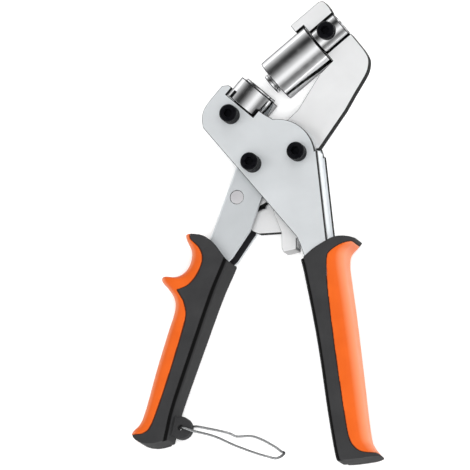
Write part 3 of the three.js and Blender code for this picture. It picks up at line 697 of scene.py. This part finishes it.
PLATE_STEEL = sheet_steel("plate_steel", PLATE_COLOR, RIGHT_HANDLE_ANGLE, 0.4, PLATE_CUT_AND_SHADE, DULL_EDGE)
CHANNEL_STEEL = sheet_steel("channel_steel", CHANNEL_COLOR, HANDLE_ANGLE, 0.4, edge_shine=DULL_EDGE)
RIGHT_CHANNEL_STEEL = sheet_steel("right_channel_steel", CHANNEL_COLOR, RIGHT_HANDLE_ANGLE, 0.4)
ARM_STEEL = sheet_steel("arm_steel", ARM_COLOR, OPEN_DIE_ANGLE, 0.45, ARM_CUT_AND_SHADE, DULL_EDGE)
GUIDE_STEEL = sheet_steel("guide_steel", ARM_COLOR, RIGHT_HANDLE_ANGLE, 0.45, GUIDE_CUT_AND_SHADE)
RIVET_STEEL = sheet_steel("rivet_steel", RIVET_COLOR, HANDLE_ANGLE, 0.4, RIVET_CUT_AND_SHADE, DULL_EDGE)
# Painted shade on the inner faces of both channels
painted_inside_shade(CHANNEL_STEEL)
painted_inside_shade(RIGHT_CHANNEL_STEEL)
# Painted shade along the top of the right channel's web, under the plate's edge
painted_joint_shade(RIGHT_CHANNEL_STEEL)
CHROME = chrome_plate("chrome", CHROME_COLOR)
LOWER_CHROME = turned_chrome("lower_die_chrome", heading(DIE_ANGLE))
UPPER_CHROME = turned_chrome("upper_die_chrome", heading(OPEN_DIE_ANGLE))
SPRING_STEEL = chrome_plate("spring_steel", WIRE_COLOR, 0.2)
BLACK_OXIDE = black_oxide("black_oxide")
DARK_PLASTIC = moulded_plastic("dark_plastic", BLACK_DARK, BLACK_LIGHT, 0.6, 0.03)
ORANGE_PLASTIC = moulded_plastic("orange_plastic", ORANGE_DARK, ORANGE_LIGHT, 0.5, 0.16)
# Painted highlight and painted seam shade on the orange inlay
painted_highlight_and_seam_shade(ORANGE_PLASTIC)
# Painted shade in the grip's long groove
painted_groove_shade(DARK_PLASTIC)

# Dies, their holders and the punch

LOWER_ORIGIN = inside(DIE_ANGLE, JAW_PIVOT, 0, DIE_REACH)
UPPER_ORIGIN = inside(OPEN_DIE_ANGLE, JAW_PIVOT, 0, DIE_REACH)
LOWER_TOP = DIE_SEAT + LOWER_DIE_HEIGHT
UPPER_FACE = LOWER_TOP + RING_HEIGHT + FACE_GAP
UPPER_TOP = UPPER_FACE + UPPER_DIE_LENGTH
HOLDER_FOOT = UPPER_TOP + CLEARANCE


def lower_die():
    ring_top = LOWER_TOP + RING_HEIGHT
    foot = DIE_SEAT + CLEARANCE
    profile = [
        (DIE_SEAT - LOWER_STEM_LENGTH, 0),
        (DIE_SEAT - LOWER_STEM_LENGTH, LOWER_STEM / 2),
        (foot, LOWER_STEM / 2),
        (foot, DIE_DIAMETER / 2),
        (LOWER_TOP, DIE_DIAMETER / 2),
        (LOWER_TOP, RING_DIAMETER / 2),
        (ring_top, RING_DIAMETER / 2),
        (ring_top, BORE_DIAMETER / 2),
        (ring_top - BORE_DEPTH, BORE_DIAMETER / 2),
        (ring_top - BORE_DEPTH, 0),
    ]
    piece = lathe("lower_die_turned", eased(profile, EDGE), LOWER_ORIGIN, heading(DIE_ANGLE))
    flat_faces(piece)
    return dressed(piece, "lower_die", LOWER_CHROME)


def upper_die():
    stem_top = HOLDER_FOOT + HOLDER_LENGTH - CLEARANCE
    profile = [
        (UPPER_FACE, 0),
        (UPPER_FACE, DIE_DIAMETER / 2),
        (UPPER_TOP, DIE_DIAMETER / 2),
        (UPPER_TOP, UPPER_STEM / 2),
        (stem_top, UPPER_STEM / 2),
        (stem_top, 0),
    ]
    piece = lathe("upper_die_turned", eased(profile, EDGE), UPPER_ORIGIN, heading(OPEN_DIE_ANGLE))
    flat_faces(piece)
    return dressed(piece, "upper_die", UPPER_CHROME)


def punch_tip():
    foot = UPPER_FACE - PUNCH_LENGTH
    seat = UPPER_FACE - CLEARANCE
    groove = PUNCH_DIAMETER / 2 - PUNCH_GROOVE
    profile = [
        (foot, 0),
        (foot, PUNCH_DIAMETER / 2),
        (seat - EDGE - PUNCH_GROOVE, PUNCH_DIAMETER / 2),
        (seat - EDGE - PUNCH_GROOVE, groove),
        (seat - EDGE, groove),
        (seat - EDGE, PUNCH_DIAMETER / 2),
        (seat, PUNCH_DIAMETER / 2),
        (seat, 0),
    ]
    piece = lathe("punch_tip_turned", eased(profile, EDGE), UPPER_ORIGIN, heading(OPEN_DIE_ANGLE))
    flat_faces(piece)
    return dressed(piece, "punch_tip", UPPER_CHROME)


def upper_die_holder():
    top = HOLDER_FOOT + HOLDER_LENGTH
    bore = UPPER_STEM / 2 + CLEARANCE
    profile = [
        (HOLDER_FOOT, bore),
        (HOLDER_FOOT, HOLDER_DIAMETER / 2),
        (top, HOLDER_DIAMETER / 2),
        (top, bore),
    ]
    tube = [profile[0], *eased(profile, EDGE)[1:-1], profile[-1]]
    piece = lathe("upper_die_tube", tube, UPPER_ORIGIN, heading(OPEN_DIE_ANGLE))
    flat_faces(piece)
    return dressed(piece, "upper_die_holder", UPPER_CHROME)


# Screws, bushes, washers and pins


def thread(low, high, radius):
    """The [along, radius] points of rounded thread grooves between two heights."""
    turns = max(1, round((high - low) / THREAD_PITCH))
    pitch = (high - low) / turns
    return [
        (low + pitch * (turn + along), radius - THREAD_DEPTH * (1 - out))
        for turn in range(turns)
        for along, out in THREAD_SHAPE
    ]


def socket_screw(node, shank_diameter):
    """A socket head screw whose head and foot are where its node has them."""
    origin, foot, top = upright_span(node)
    seat = top - HEAD_HEIGHTS[node]
    profile = [
        (foot, 0),
        (foot, shank_diameter / 2),
        (seat, shank_diameter / 2),
        *thread(seat, top - 2 * EDGE, HEAD_DIAMETER / 2),
        (top - EDGE, HEAD_DIAMETER / 2),
        (top, HEAD_DIAMETER / 2 - EDGE),
        (top, 0),
    ]
    screw = lathe(node + "_screw", profile, origin, UP)
    corner = SOCKET_WIDTH / math.sqrt(3)
    hexagon = [origin + heading(math.radians(turn)) * corner * MM for turn in range(0, 360, 60)]
    cutter = prism("socket", hexagon, (top - SOCKET_DEPTH) * MM, (top + SOCKET_DEPTH) * MM)
    cut(screw, cutter)
    discard(cutter)
    smooth_shading(screw)
    return dressed(screw, node, BLACK_OXIDE)


def upright_span(node):
    """Where an upright node stands in the tool's plane, and its foot and top in millimetres."""
    low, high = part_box(node)
    place = (low + high) / 2
    return Vector((place.x, place.y, 0)), low.z / MM, high.z / MM


def ring(node, name, outer, inner):
    origin, foot, top = upright_span(node)
    profile = [(foot, inner / 2), (foot, outer / 2), (top, outer / 2), (top, inner / 2)]
    return dressed(lathe(name, profile, origin, UP, FINE_STEPS), node, CHROME)


def spring_post():
    origin, foot, top = upright_span("spring_post")
    radius = SPRING_POST_DIAMETER / 2
    profile = eased([(foot, 0), (foot, radius), (top, radius), (top, 0)], EDGE)
    return dressed(lathe("spring_post_pin", profile, origin, UP, FINE_STEPS), "spring_post", CHROME)


def drive_rivet():
    """A pin between the cheeks with a slightly domed head flush in each of them."""
    origin, foot, top = upright_span("drive_rivet")
    shank = RIVET_SHANK_RADIUS
    head = RIVET_HEAD_RADIUS
    thick = RIVET_HEAD_THICKNESS
    rim = RIVET_RIM
    profile = [
        (foot, 0),
        (foot + rim, head - rim),
        (foot + rim, head),
        (foot + thick, head),
        (foot + thick, shank),
        (top - thick, shank),
        (top - thick, head),
        (top - rim, head),
        (top - rim, head - rim),
        (top, 0),
    ]
    piece = lathe("drive_rivet_turned", profile, origin, UP, FINE_STEPS)
    return dressed(piece, "drive_rivet", RIVET_STEEL)


# Wires: smoothed tubes, and the return spring, a torsion spring between the body and the handle


def smoothed_copy(node, name):
    piece = finish_bmesh(welded(node), name)
    modifier = piece.modifiers.new("round", "SUBSURF")
    modifier.levels = WIRE_LEVELS
    modifier.render_levels = WIRE_LEVELS
    evaluated(piece)
    piece.data.shade_smooth()
    return piece


def wire_bail():
    piece = smoothed_copy("wire_bail", "bail_wire")
    return dressed(piece, "wire_bail", SPRING_STEEL)


def return_spring():
    piece = smoothed_copy("return_spring", "torsion_spring")
    piece.data.materials.clear()
    piece.data.materials.append(SPRING_STEEL)
    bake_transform(piece)
    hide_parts("return_spring")
    return piece


# Grips: rounded sections along each handle, cut to the mouth and the foot, in two materials.
# Outlines are shares of the grip's length and width, along and across its handle.

LEFT_GRIP = {
    "length": 143.6,
    "width": 17,
    "outer": [
        (0.265, -1.2), (0.299, -1.19), (0.337, -0.89), (0.375, -0.806), (0.41, -0.865), (0.436, -1.08),
        (0.447, -1.42), (0.464, -1.41), (0.479, -1.19), (0.503, -0.918), (0.542, -0.77), (0.62, -0.741),
        (0.743, -0.694), (0.914, -0.6), (0.968, -0.747), (1.01, -0.78),
    ],
    "inner": [
        (0.265, 0.27), (0.35, 0.25), (0.45, 0.206), (0.64, 0.22), (0.84, 0.25), (0.93, 0.33), (1.01, 0.42),
    ],
    "trim": [
        (0.3, -1.6), (0.295, -1.24), (0.283, -1.0), (0.274, -0.48), (0.337, 0.24), (0.34, 0.8), (0.93, 0.8),
        (0.955, 0.36), (0.99, -0.05), (0.997, -0.5), (0.97, -0.8), (0.96, -1.6),
    ],
    "inlay": [
        [
            (0.27, -1.03), (0.3, -0.99), (0.32, -0.635), (0.352, -0.43), (0.403, -0.424), (0.448, -0.57),
            (0.476, -0.84),
        ],
        [
            (0.504, -0.547), (0.547, -0.335), (0.623, -0.27), (0.779, -0.212), (0.92, -0.212),
            (0.959, -0.335), (0.975, -0.606), (0.982, -0.85),
        ],
    ],
}

RIGHT_GRIP = {
    "length": 151.6,
    "width": 18.5,
    "outer": [
        (0.26, 1.35), (0.305, 1.06), (0.334, 0.757), (0.367, 0.665), (0.414, 0.643), (0.523, 0.622),
        (0.704, 0.562), (0.911, 0.486), (0.965, 0.56), (1.01, 0.8),
    ],
    "inner": [
        (0.26, -0.46), (0.336, -0.425), (0.379, -0.40), (0.542, -0.37), (0.672, -0.38), (0.828, -0.42),
        (0.958, -0.425), (1.01, -0.38),
    ],
    "trim": [
        (0.34, -0.8), (0.336, -0.36), (0.312, -0.065), (0.296, 0.308), (0.288, 0.557), (0.292, 0.8),
        (0.302, 1.06), (0.33, 1.6), (1.0, 1.6), (0.998, 0.3), (0.988, -0.34), (0.975, -0.8),
    ],
    "inlay": [
        [
            (0.313, 1.4), (0.311, 1), (0.318, 0.66), (0.334, 0.362), (0.356, 0.268), (0.425, 0.178),
            (0.554, 0.108), (0.735, 0.049), (0.907, 0.027), (0.957, 0.13), (0.98, 0.38), (0.986, 0.75),
            (0.987, 1.4),
        ],
    ],
}

# The grips' thickness, the rounding of their inner and outer corners, and the seam of the inlay
TOP_THICKNESS = 22.6
FOOT_THICKNESS = 17
CORNER_RADIUS = 3
OUTER_RADIUS = 6
INLAY_GAP = 0.12

# The crease in both inner corners: its depth, its half width as a share of the corner's turn, and
# the depths from which and over which it gets painted shade
CREASE_DEPTH = 2.7
CREASE_SHARE = 0.3
GROOVE_SHALLOW = 0.15
GROOVE_FADE = 0.5

# Shares: the most that a corner takes of its side, the grip's end, and how far out the inlay is cut
CORNER_LIMIT = 0.9
SECTION_END = 1.005
INLAY_OUTSIDE = 1.6

LUG_ALONG = 129.6
LUG_ACROSS = 8.4
LUG_DIAMETER = 10.8
LUG_THICKNESS = 5.6
LUG_HOLE = 2.6


def spline(points, steps_per_point):
    """A smooth open curve through the points, evenly spaced in its own parameter."""
    count = len(points) * steps_per_point
    made = []
    for i in range(count + 1):
        place = (len(points) - 1) * i / count
        k = min(int(place), len(points) - 2)
        t = place - k
        p0 = Vector(points[max(k - 1, 0)])
        p1 = Vector(points[k])
        p2 = Vector(points[k + 1])
        p3 = Vector(points[min(k + 2, len(points) - 1)])
        v0 = (p2 - p0) / 2
        v1 = (p3 - p1) / 2
        a = 2 * p1 - 2 * p2 + v0 + v1
        b = -3 * p1 + 3 * p2 - 2 * v0 - v1
        made.append(a * t ** 3 + b * t ** 2 + v0 * t + p1)
    return made


def value_at(points, along):
    for before, after in zip(points, points[1:]):
        if after.x >= along:
            share = (along - before.x) / (after.x - before.x)
            return before.y + max(0, min(1, share)) * (after.y - before.y)
    return points[-1].y


def section(inner, outer, half):
    """A rounded rectangle of (across, z) points from the inner side to the outer side."""
    sign = math.copysign(1, inner - outer)
    limit = min(half, abs(inner - outer) / 2) * CORNER_LIMIT
    corners = [
        (inner, 1, min(CORNER_RADIUS, limit), sign, CREASE_DEPTH),
        (outer, 1, min(OUTER_RADIUS, limit), -sign, 0),
        (outer, -1, min(OUTER_RADIUS, limit), -sign, 0),
        (inner, -1, min(CORNER_RADIUS, limit), sign, CREASE_DEPTH),
    ]
    points = []
    for quarter, (side, up, radius, towards, crease) in enumerate(corners):
        across, z = side - towards * radius, up * (half - radius)
        for i in range(CORNER_STEPS + 1):
            share = i / CORNER_STEPS
            near = max(0, 1 - abs(share - 0.5) / CREASE_SHARE)
            reach = radius - crease * near * near * (3 - 2 * near)
            turn = (quarter + share) * math.pi / 2
            points.append((across + sign * reach * math.cos(turn), z + reach * math.sin(turn)))
    return points


def half_thickness(share):
    return (TOP_THICKNESS + (FOOT_THICKNESS - TOP_THICKNESS) * share) / 2


def grip_body(name, grip, place):
    """A whole grip of rounded sections, a little longer at both ends than the trim leaves it."""
    scale = Vector((grip["length"], grip["width"]))
    outer = [p * scale for p in spline(grip["outer"], OUTLINE_STEPS)]
    inner = [p * scale for p in spline(grip["inner"], OUTLINE_STEPS)]
    start = outer[0].x
    end = grip["length"] * SECTION_END
    bm = bmesh.new()
    rings = []
    for i in range(GRIP_STATIONS + 1):
        share = i / GRIP_STATIONS
        along = start + (end - start) * share
        points = section(value_at(inner, along), value_at(outer, along), half_thickness(share))
        rings.append([bm.verts.new(place(along, across, z)) for across, z in points])
    count = len(rings[0])
    for first, second in zip(rings, rings[1:]):
        for j in range(count):
            k = (j + 1) % count
            bm.faces.new((first[j], first[k], second[k], second[j]))
    bm.faces.new(rings[0])
    bm.faces.new(rings[-1])
    return finish_bmesh(bm, name)


def area_prism(name, grip, points, place, gap=0.0):
    """An outline in shares of the grip's size, moved outwards by a gap in millimetres, as a deep prism."""
    scale = Vector((grip["length"], grip["width"]))
    flat = grown([Vector(p) * scale for p in points], gap)
    outline = [place(*point, 0) for point in flat]
    return prism(name, outline, MIDDLE - TOP_THICKNESS * MM, MIDDLE + TOP_THICKNESS * MM)


def grown(outline, gap):
    """The closed outline with each point moved outwards."""
    pairs = list(zip(outline, [*outline[1:], outline[0]]))
    turning = sum(a.x * b.y - b.x * a.y for a, b in pairs)
    reach = math.copysign(gap, turning)
    made = []
    for i, point in enumerate(outline):
        run = outline[(i + 1) % len(outline)] - outline[i - 1]
        made.append(point + Vector((run.y, -run.x)).normalized() * reach)
    return made


def rounded(points):
    """A closed outline that turns smoothly from the middle of each side to the middle of the next."""
    made = []
    for i, point in enumerate(points):
        here = Vector(point)
        start = (Vector(points[i - 1]) + here) / 2
        end = (Vector(points[(i + 1) % len(points)]) + here) / 2
        for step in range(TRIM_STEPS):
            made.append(bend(start, here, end, step / TRIM_STEPS))
    return made


def inlay_outline(grip):
    edge = [tuple(p) for run in grip["inlay"] for p in spline(run, INLAY_STEPS)]
    outside = math.copysign(INLAY_OUTSIDE, grip["outer"][0][1])
    return [*edge, (edge[-1][0], outside), (edge[0][0], outside)]


def moulded(piece):
    """The piece as one even skin whose sharp edges are softened, as a mould gives them."""
    remesh = piece.modifiers.new("skin", "REMESH")
    remesh.mode = "VOXEL"
    remesh.voxel_size = GRIP_VOXEL
    remesh.use_smooth_shade = True
    soften = piece.modifiers.new("soften", "SMOOTH")
    soften.factor = SOFTEN_SHARE
    soften.iterations = SOFTEN_TIMES
    evaluated(piece)
    piece.data.shade_smooth()
    return piece


def mark_groove(piece, grip, origin, angle):
    """Each point that lies in one of the two long grooves gets its share of the groove's painted shade."""
    scale = Vector((grip["length"], grip["width"]))
    inner = np.array([p * scale for p in spline(grip["inner"], OUTLINE_STEPS)])
    start = grip["outer"][0][0] * grip["length"]
    end = grip["length"] * SECTION_END
    points = np.empty(3 * len(piece.data.vertices))
    piece.data.vertices.foreach_get("co", points)
    offset = (points.reshape(-1, 3) - np.array(origin)) / MM
    forward = heading(angle)
    along = offset[:, 0] * forward.x + offset[:, 1] * forward.y
    across = -offset[:, 0] * forward.y + offset[:, 1] * forward.x
    share = (along - start) / (end - start)
    sign = math.copysign(1, grip["inner"][0][1])
    out = sign * (across - np.interp(along, inner[:, 0], inner[:, 1])) + CORNER_RADIUS
    up = np.abs(offset[:, 2]) - half_thickness(share) + CORNER_RADIUS
    turn = np.arctan2(up, out) / (math.pi / 2)
    near = np.abs(turn - 0.5) < CREASE_SHARE
    depth = CORNER_RADIUS - np.hypot(out, up)
    mark = np.where(near, np.clip((depth - GROOVE_SHALLOW) / GROOVE_FADE, 0, 1), 0)
    piece.data.attributes.new(GROOVE_MARK, "FLOAT", "POINT").data.foreach_set("value", mark)


def grip_pieces(grip, origin, angle, core_node, inlay_node, add_to_core=None):
    """The core and the inlay of one grip, cut from the same body with a seam between them."""
    def place(along, across, z):
        return inside(angle, origin, along, across, z)

    whole = grip_body("grip_body", grip, place)
    trim = area_prism("trim", grip, rounded(grip["trim"]), place)
    cut(whole, trim, "INTERSECT")
    area = area_prism("area", grip, inlay_outline(grip), place)
    inlay = to_object(inlay_node + "_moulded", whole.data.copy())
    cut(inlay, area, "INTERSECT")
    core = to_object(core_node + "_moulded", whole.data.copy())
    seat = area_prism("seat", grip, inlay_outline(grip), place, INLAY_GAP)
    cut(core, seat)
    for piece in (whole, trim, area, seat):
        discard(piece)
    if add_to_core:
        add_to_core(core)
    dressed(moulded(inlay), inlay_node, ORANGE_PLASTIC)
    dressed(moulded(core), core_node, DARK_PLASTIC)
    mark_groove(core, grip, origin, angle)


def rod_profile(reach, diameter):
    radius = diameter / 2
    return [(-reach, 0), (-reach, radius), (reach, radius), (reach, 0)]


def add_lug(core):
    """The bail's lug on the inner side of the grip's foot, with its hole."""
    origin = inside(HANDLE_ANGLE, HANDLE_PIVOT, LUG_ALONG, LUG_ACROSS)
    disc = lathe("lug", eased(rod_profile(LUG_THICKNESS / 2, LUG_DIAMETER), EDGE), origin, UP)
    cut(core, disc, "UNION")
    discard(disc)
    hole = lathe("hole", rod_profile(TOP_THICKNESS, LUG_HOLE), origin, UP)
    cut(core, hole)
    discard(hole)


def sheet_parts():
    left_fold = (HANDLE_PIVOT, HANDLE_ANGLE, LEFT_FOLD_START, lambda across: across < LEFT_WEB_ACROSS)
    right_fold = (
        JAW_PIVOT, RIGHT_HANDLE_ANGLE, RIGHT_FOLD_START, lambda across: across > RIGHT_WEB_ACROSS
    )
    for node in ("front_side_plate", "rear_side_plate"):
        sheet_part(node, PLATE_STEEL, full_from=cad_low.y)
    sheet_part("left_handle_channel", CHANNEL_STEEL, left_fold)
    sheet_part("right_handle_channel", RIGHT_CHANNEL_STEEL, right_fold)
    for node in ("jaw_arm", "jaw_nose"):
        sheet_part(node, ARM_STEEL, full_from=JAW_PIVOT.y)
    sheet_part("tail_guide", GUIDE_STEEL)
    sheet_part("lower_die_holder", BLACK_OXIDE)


def bushes_and_washers():
    bush_bore = BOLT_DIAMETER + 2 * CLEARANCE
    washer_bore = BUSH_DIAMETER + 2 * CLEARANCE
    low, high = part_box("front_jaw_washer")
    washer = (high.x - low.x) / MM
    ring("handle_pivot_bush", "handle_bush_ring", BUSH_DIAMETER, bush_bore)
    ring("jaw_pivot_bush", "jaw_bush_ring", BUSH_DIAMETER, bush_bore)
    ring("front_jaw_washer", "front_washer_ring", washer, washer_bore)
    ring("rear_jaw_washer", "rear_washer_ring", washer, washer_bore)


def build():
    sheet_parts()
    lower_die()
    upper_die()
    punch_tip()
    upper_die_holder()
    for node in ("handle_pivot_bolt", "jaw_pivot_bolt", "lower_die_bolt"):
        socket_screw(node, BOLT_DIAMETER)
    socket_screw("upper_die_screw", DIE_SCREW_DIAMETER)
    bushes_and_washers()
    spring_post()
    drive_rivet()
    wire_bail()
    return_spring()
    grip_pieces(LEFT_GRIP, HANDLE_PIVOT, HANDLE_ANGLE, "left_grip_core", "left_grip_inlay", add_lug)
    grip_pieces(RIGHT_GRIP, JAW_PIVOT, RIGHT_HANDLE_ANGLE, "right_grip_core", "right_grip_inlay")


# Floor, light and camera

VIEW_BACK = Vector((0.2541, -0.1908, 0.9482)).normalized()
VIEW_RIGHT = Vector((0.9659, 0, -0.2588)).normalized()
VIEW_UP = VIEW_BACK.cross(VIEW_RIGHT)
PIXEL = 1 / 2.10
PIVOT_PIXEL = (303.7, 156.8)
IMAGE_PIXELS = 470
CAMERA_DISTANCE = 5.0
SENSOR_WIDTH = 36
CLIP_START = 0.1
CLIP_END = 20
FLOOR_REACH = 3
FLOOR_COLOR = (0.93, 0.93, 0.93)
FLOOR_ROUGHNESS = 0.9
FLOOR_GLOW = 0.16
KEY_DISTANCE = 1.4
KEY_SIZE = 0.6
KEY_POWER = 14
SKY_STRENGTH = 1.35

# The sky across the dies' axis, from one horizon over the zenith to the other: place and brightness
BAND_STOPS = [
    (0.0, 0.50), (0.07, 0.30), (0.13, 0.16), (0.20, 0.13), (0.28, 0.50), (0.34, 0.78), (0.40, 0.76),
    (0.46, 0.52), (0.53, 0.30), (0.60, 0.11), (0.67, 0.03), (0.74, 0.03), (0.80, 0.09), (0.87, 0.25),
    (0.94, 0.45), (1.0, 0.65),
]
# The sky elsewhere, from the horizon to the zenith, and where along the axis it takes over
SKY_STOPS = [(0.0, 0.95), (0.07, 0.95), (0.11, 0.25), (0.22, 0.30), (0.38, 1.0), (1.0, 1.0)]
BAND_FADE = (0.22, 0.42)


def camera():
    """A far camera with a long lens, which sees the tool nearly without perspective."""
    width = IMAGE_PIXELS * PIXEL * MM
    data = bpy.data.cameras.new("camera")
    data.sensor_width = SENSOR_WIDTH
    data.lens = SENSOR_WIDTH * CAMERA_DISTANCE / width
    data.clip_start = CLIP_START
    data.clip_end = CLIP_END
    half = IMAGE_PIXELS / 2
    right = (half - PIVOT_PIXEL[0]) * PIXEL * MM
    up = (PIVOT_PIXEL[1] - half) * PIXEL * MM
    target = JAW_PIVOT + VIEW_RIGHT * right + VIEW_UP * up
    piece = bpy.data.objects.new("camera", data)
    turn = Matrix((VIEW_RIGHT, VIEW_UP, VIEW_BACK)).transposed()
    piece.matrix_world = Matrix.Translation(target + VIEW_BACK * CAMERA_DISTANCE) @ turn.to_4x4()
    bpy.context.scene.collection.objects.link(piece)
    bpy.context.scene.camera = piece


def floor():
    """A plain white floor that glows faintly, so that it isn't gray between the pieces."""
    bm = bmesh.new()
    bmesh.ops.create_grid(bm, x_segments=2, y_segments=2, size=FLOOR_REACH)
    mesh = bpy.data.meshes.new("floor")
    bm.to_mesh(mesh)
    bm.free()
    piece = to_object("floor", mesh)
    material, surface = shader("floor_white", FLOOR_COLOR, 0.0, FLOOR_ROUGHNESS)
    surface.inputs["Specular IOR Level"].default_value = 0.0
    surface.inputs["Emission Color"].default_value = (1, 1, 1, 1)
    surface.inputs["Emission Strength"].default_value = FLOOR_GLOW
    piece.data.materials.append(material)


def key_light():
    """A soft light that looks at the tool's middle along the camera's view and isn't seen in its gloss."""
    data = bpy.data.lights.new("key", "AREA")
    data.size = KEY_SIZE
    data.energy = KEY_POWER
    lamp = bpy.data.objects.new("key", data)
    lamp.location = (cad_low + cad_high) / 2 + VIEW_BACK * KEY_DISTANCE
    lamp.rotation_euler = VIEW_BACK.to_track_quat("Z", "Y").to_euler()
    lamp.visible_glossy = False
    bpy.context.scene.collection.objects.link(lamp)


def gray_ramp(nodes, links, value, stops):
    ramp = nodes.new("ShaderNodeValToRGB")
    elements = ramp.color_ramp.elements
    for position, _ in stops[1:-1]:
        elements.new(position)
    for element, (position, level) in zip(elements, stops):
        element.position = position
        element.color = (level, level, level, 1)
    links.new(value, ramp.inputs["Fac"])
    return ramp.outputs["Color"]


def studio():
    """A bright tent with a darker horizon, and dark cards over the dies that give the plating its bands."""
    world = bpy.data.worlds.new("studio")
    bpy.context.scene.world = world
    world.use_nodes = True
    nodes, links = world.node_tree.nodes, world.node_tree.links
    place = nodes.new("ShaderNodeTexCoord")
    turn = nodes.new("ShaderNodeMapping")
    turn.inputs["Rotation"].default_value = (0, 0, -(DIE_ANGLE + OPEN_DIE_ANGLE) / 2)
    links.new(place.outputs["Generated"], turn.inputs["Vector"])
    direction = split(nodes, links, turn.outputs["Vector"])
    angle = math_node(nodes, links, "ARCTAN2", direction["Y"], direction["Z"])
    share = math_node(nodes, links, "MULTIPLY_ADD", angle, 1 / math.pi, 0.5)
    bands = gray_ramp(nodes, links, share, BAND_STOPS)
    sky = gray_ramp(nodes, links, direction["Z"], SKY_STOPS)
    along = math_node(nodes, links, "ABSOLUTE", direction["X"])
    fade = spanned(nodes, links, along, BAND_FADE, smooth=True)
    background = nodes["Background"]
    background.inputs["Strength"].default_value = SKY_STRENGTH
    links.new(mixed(nodes, links, fade, bands, sky), background.inputs["Color"])


camera()
build()
floor()
studio()
key_light()
bpy.context.scene.view_settings.view_transform = "Standard"
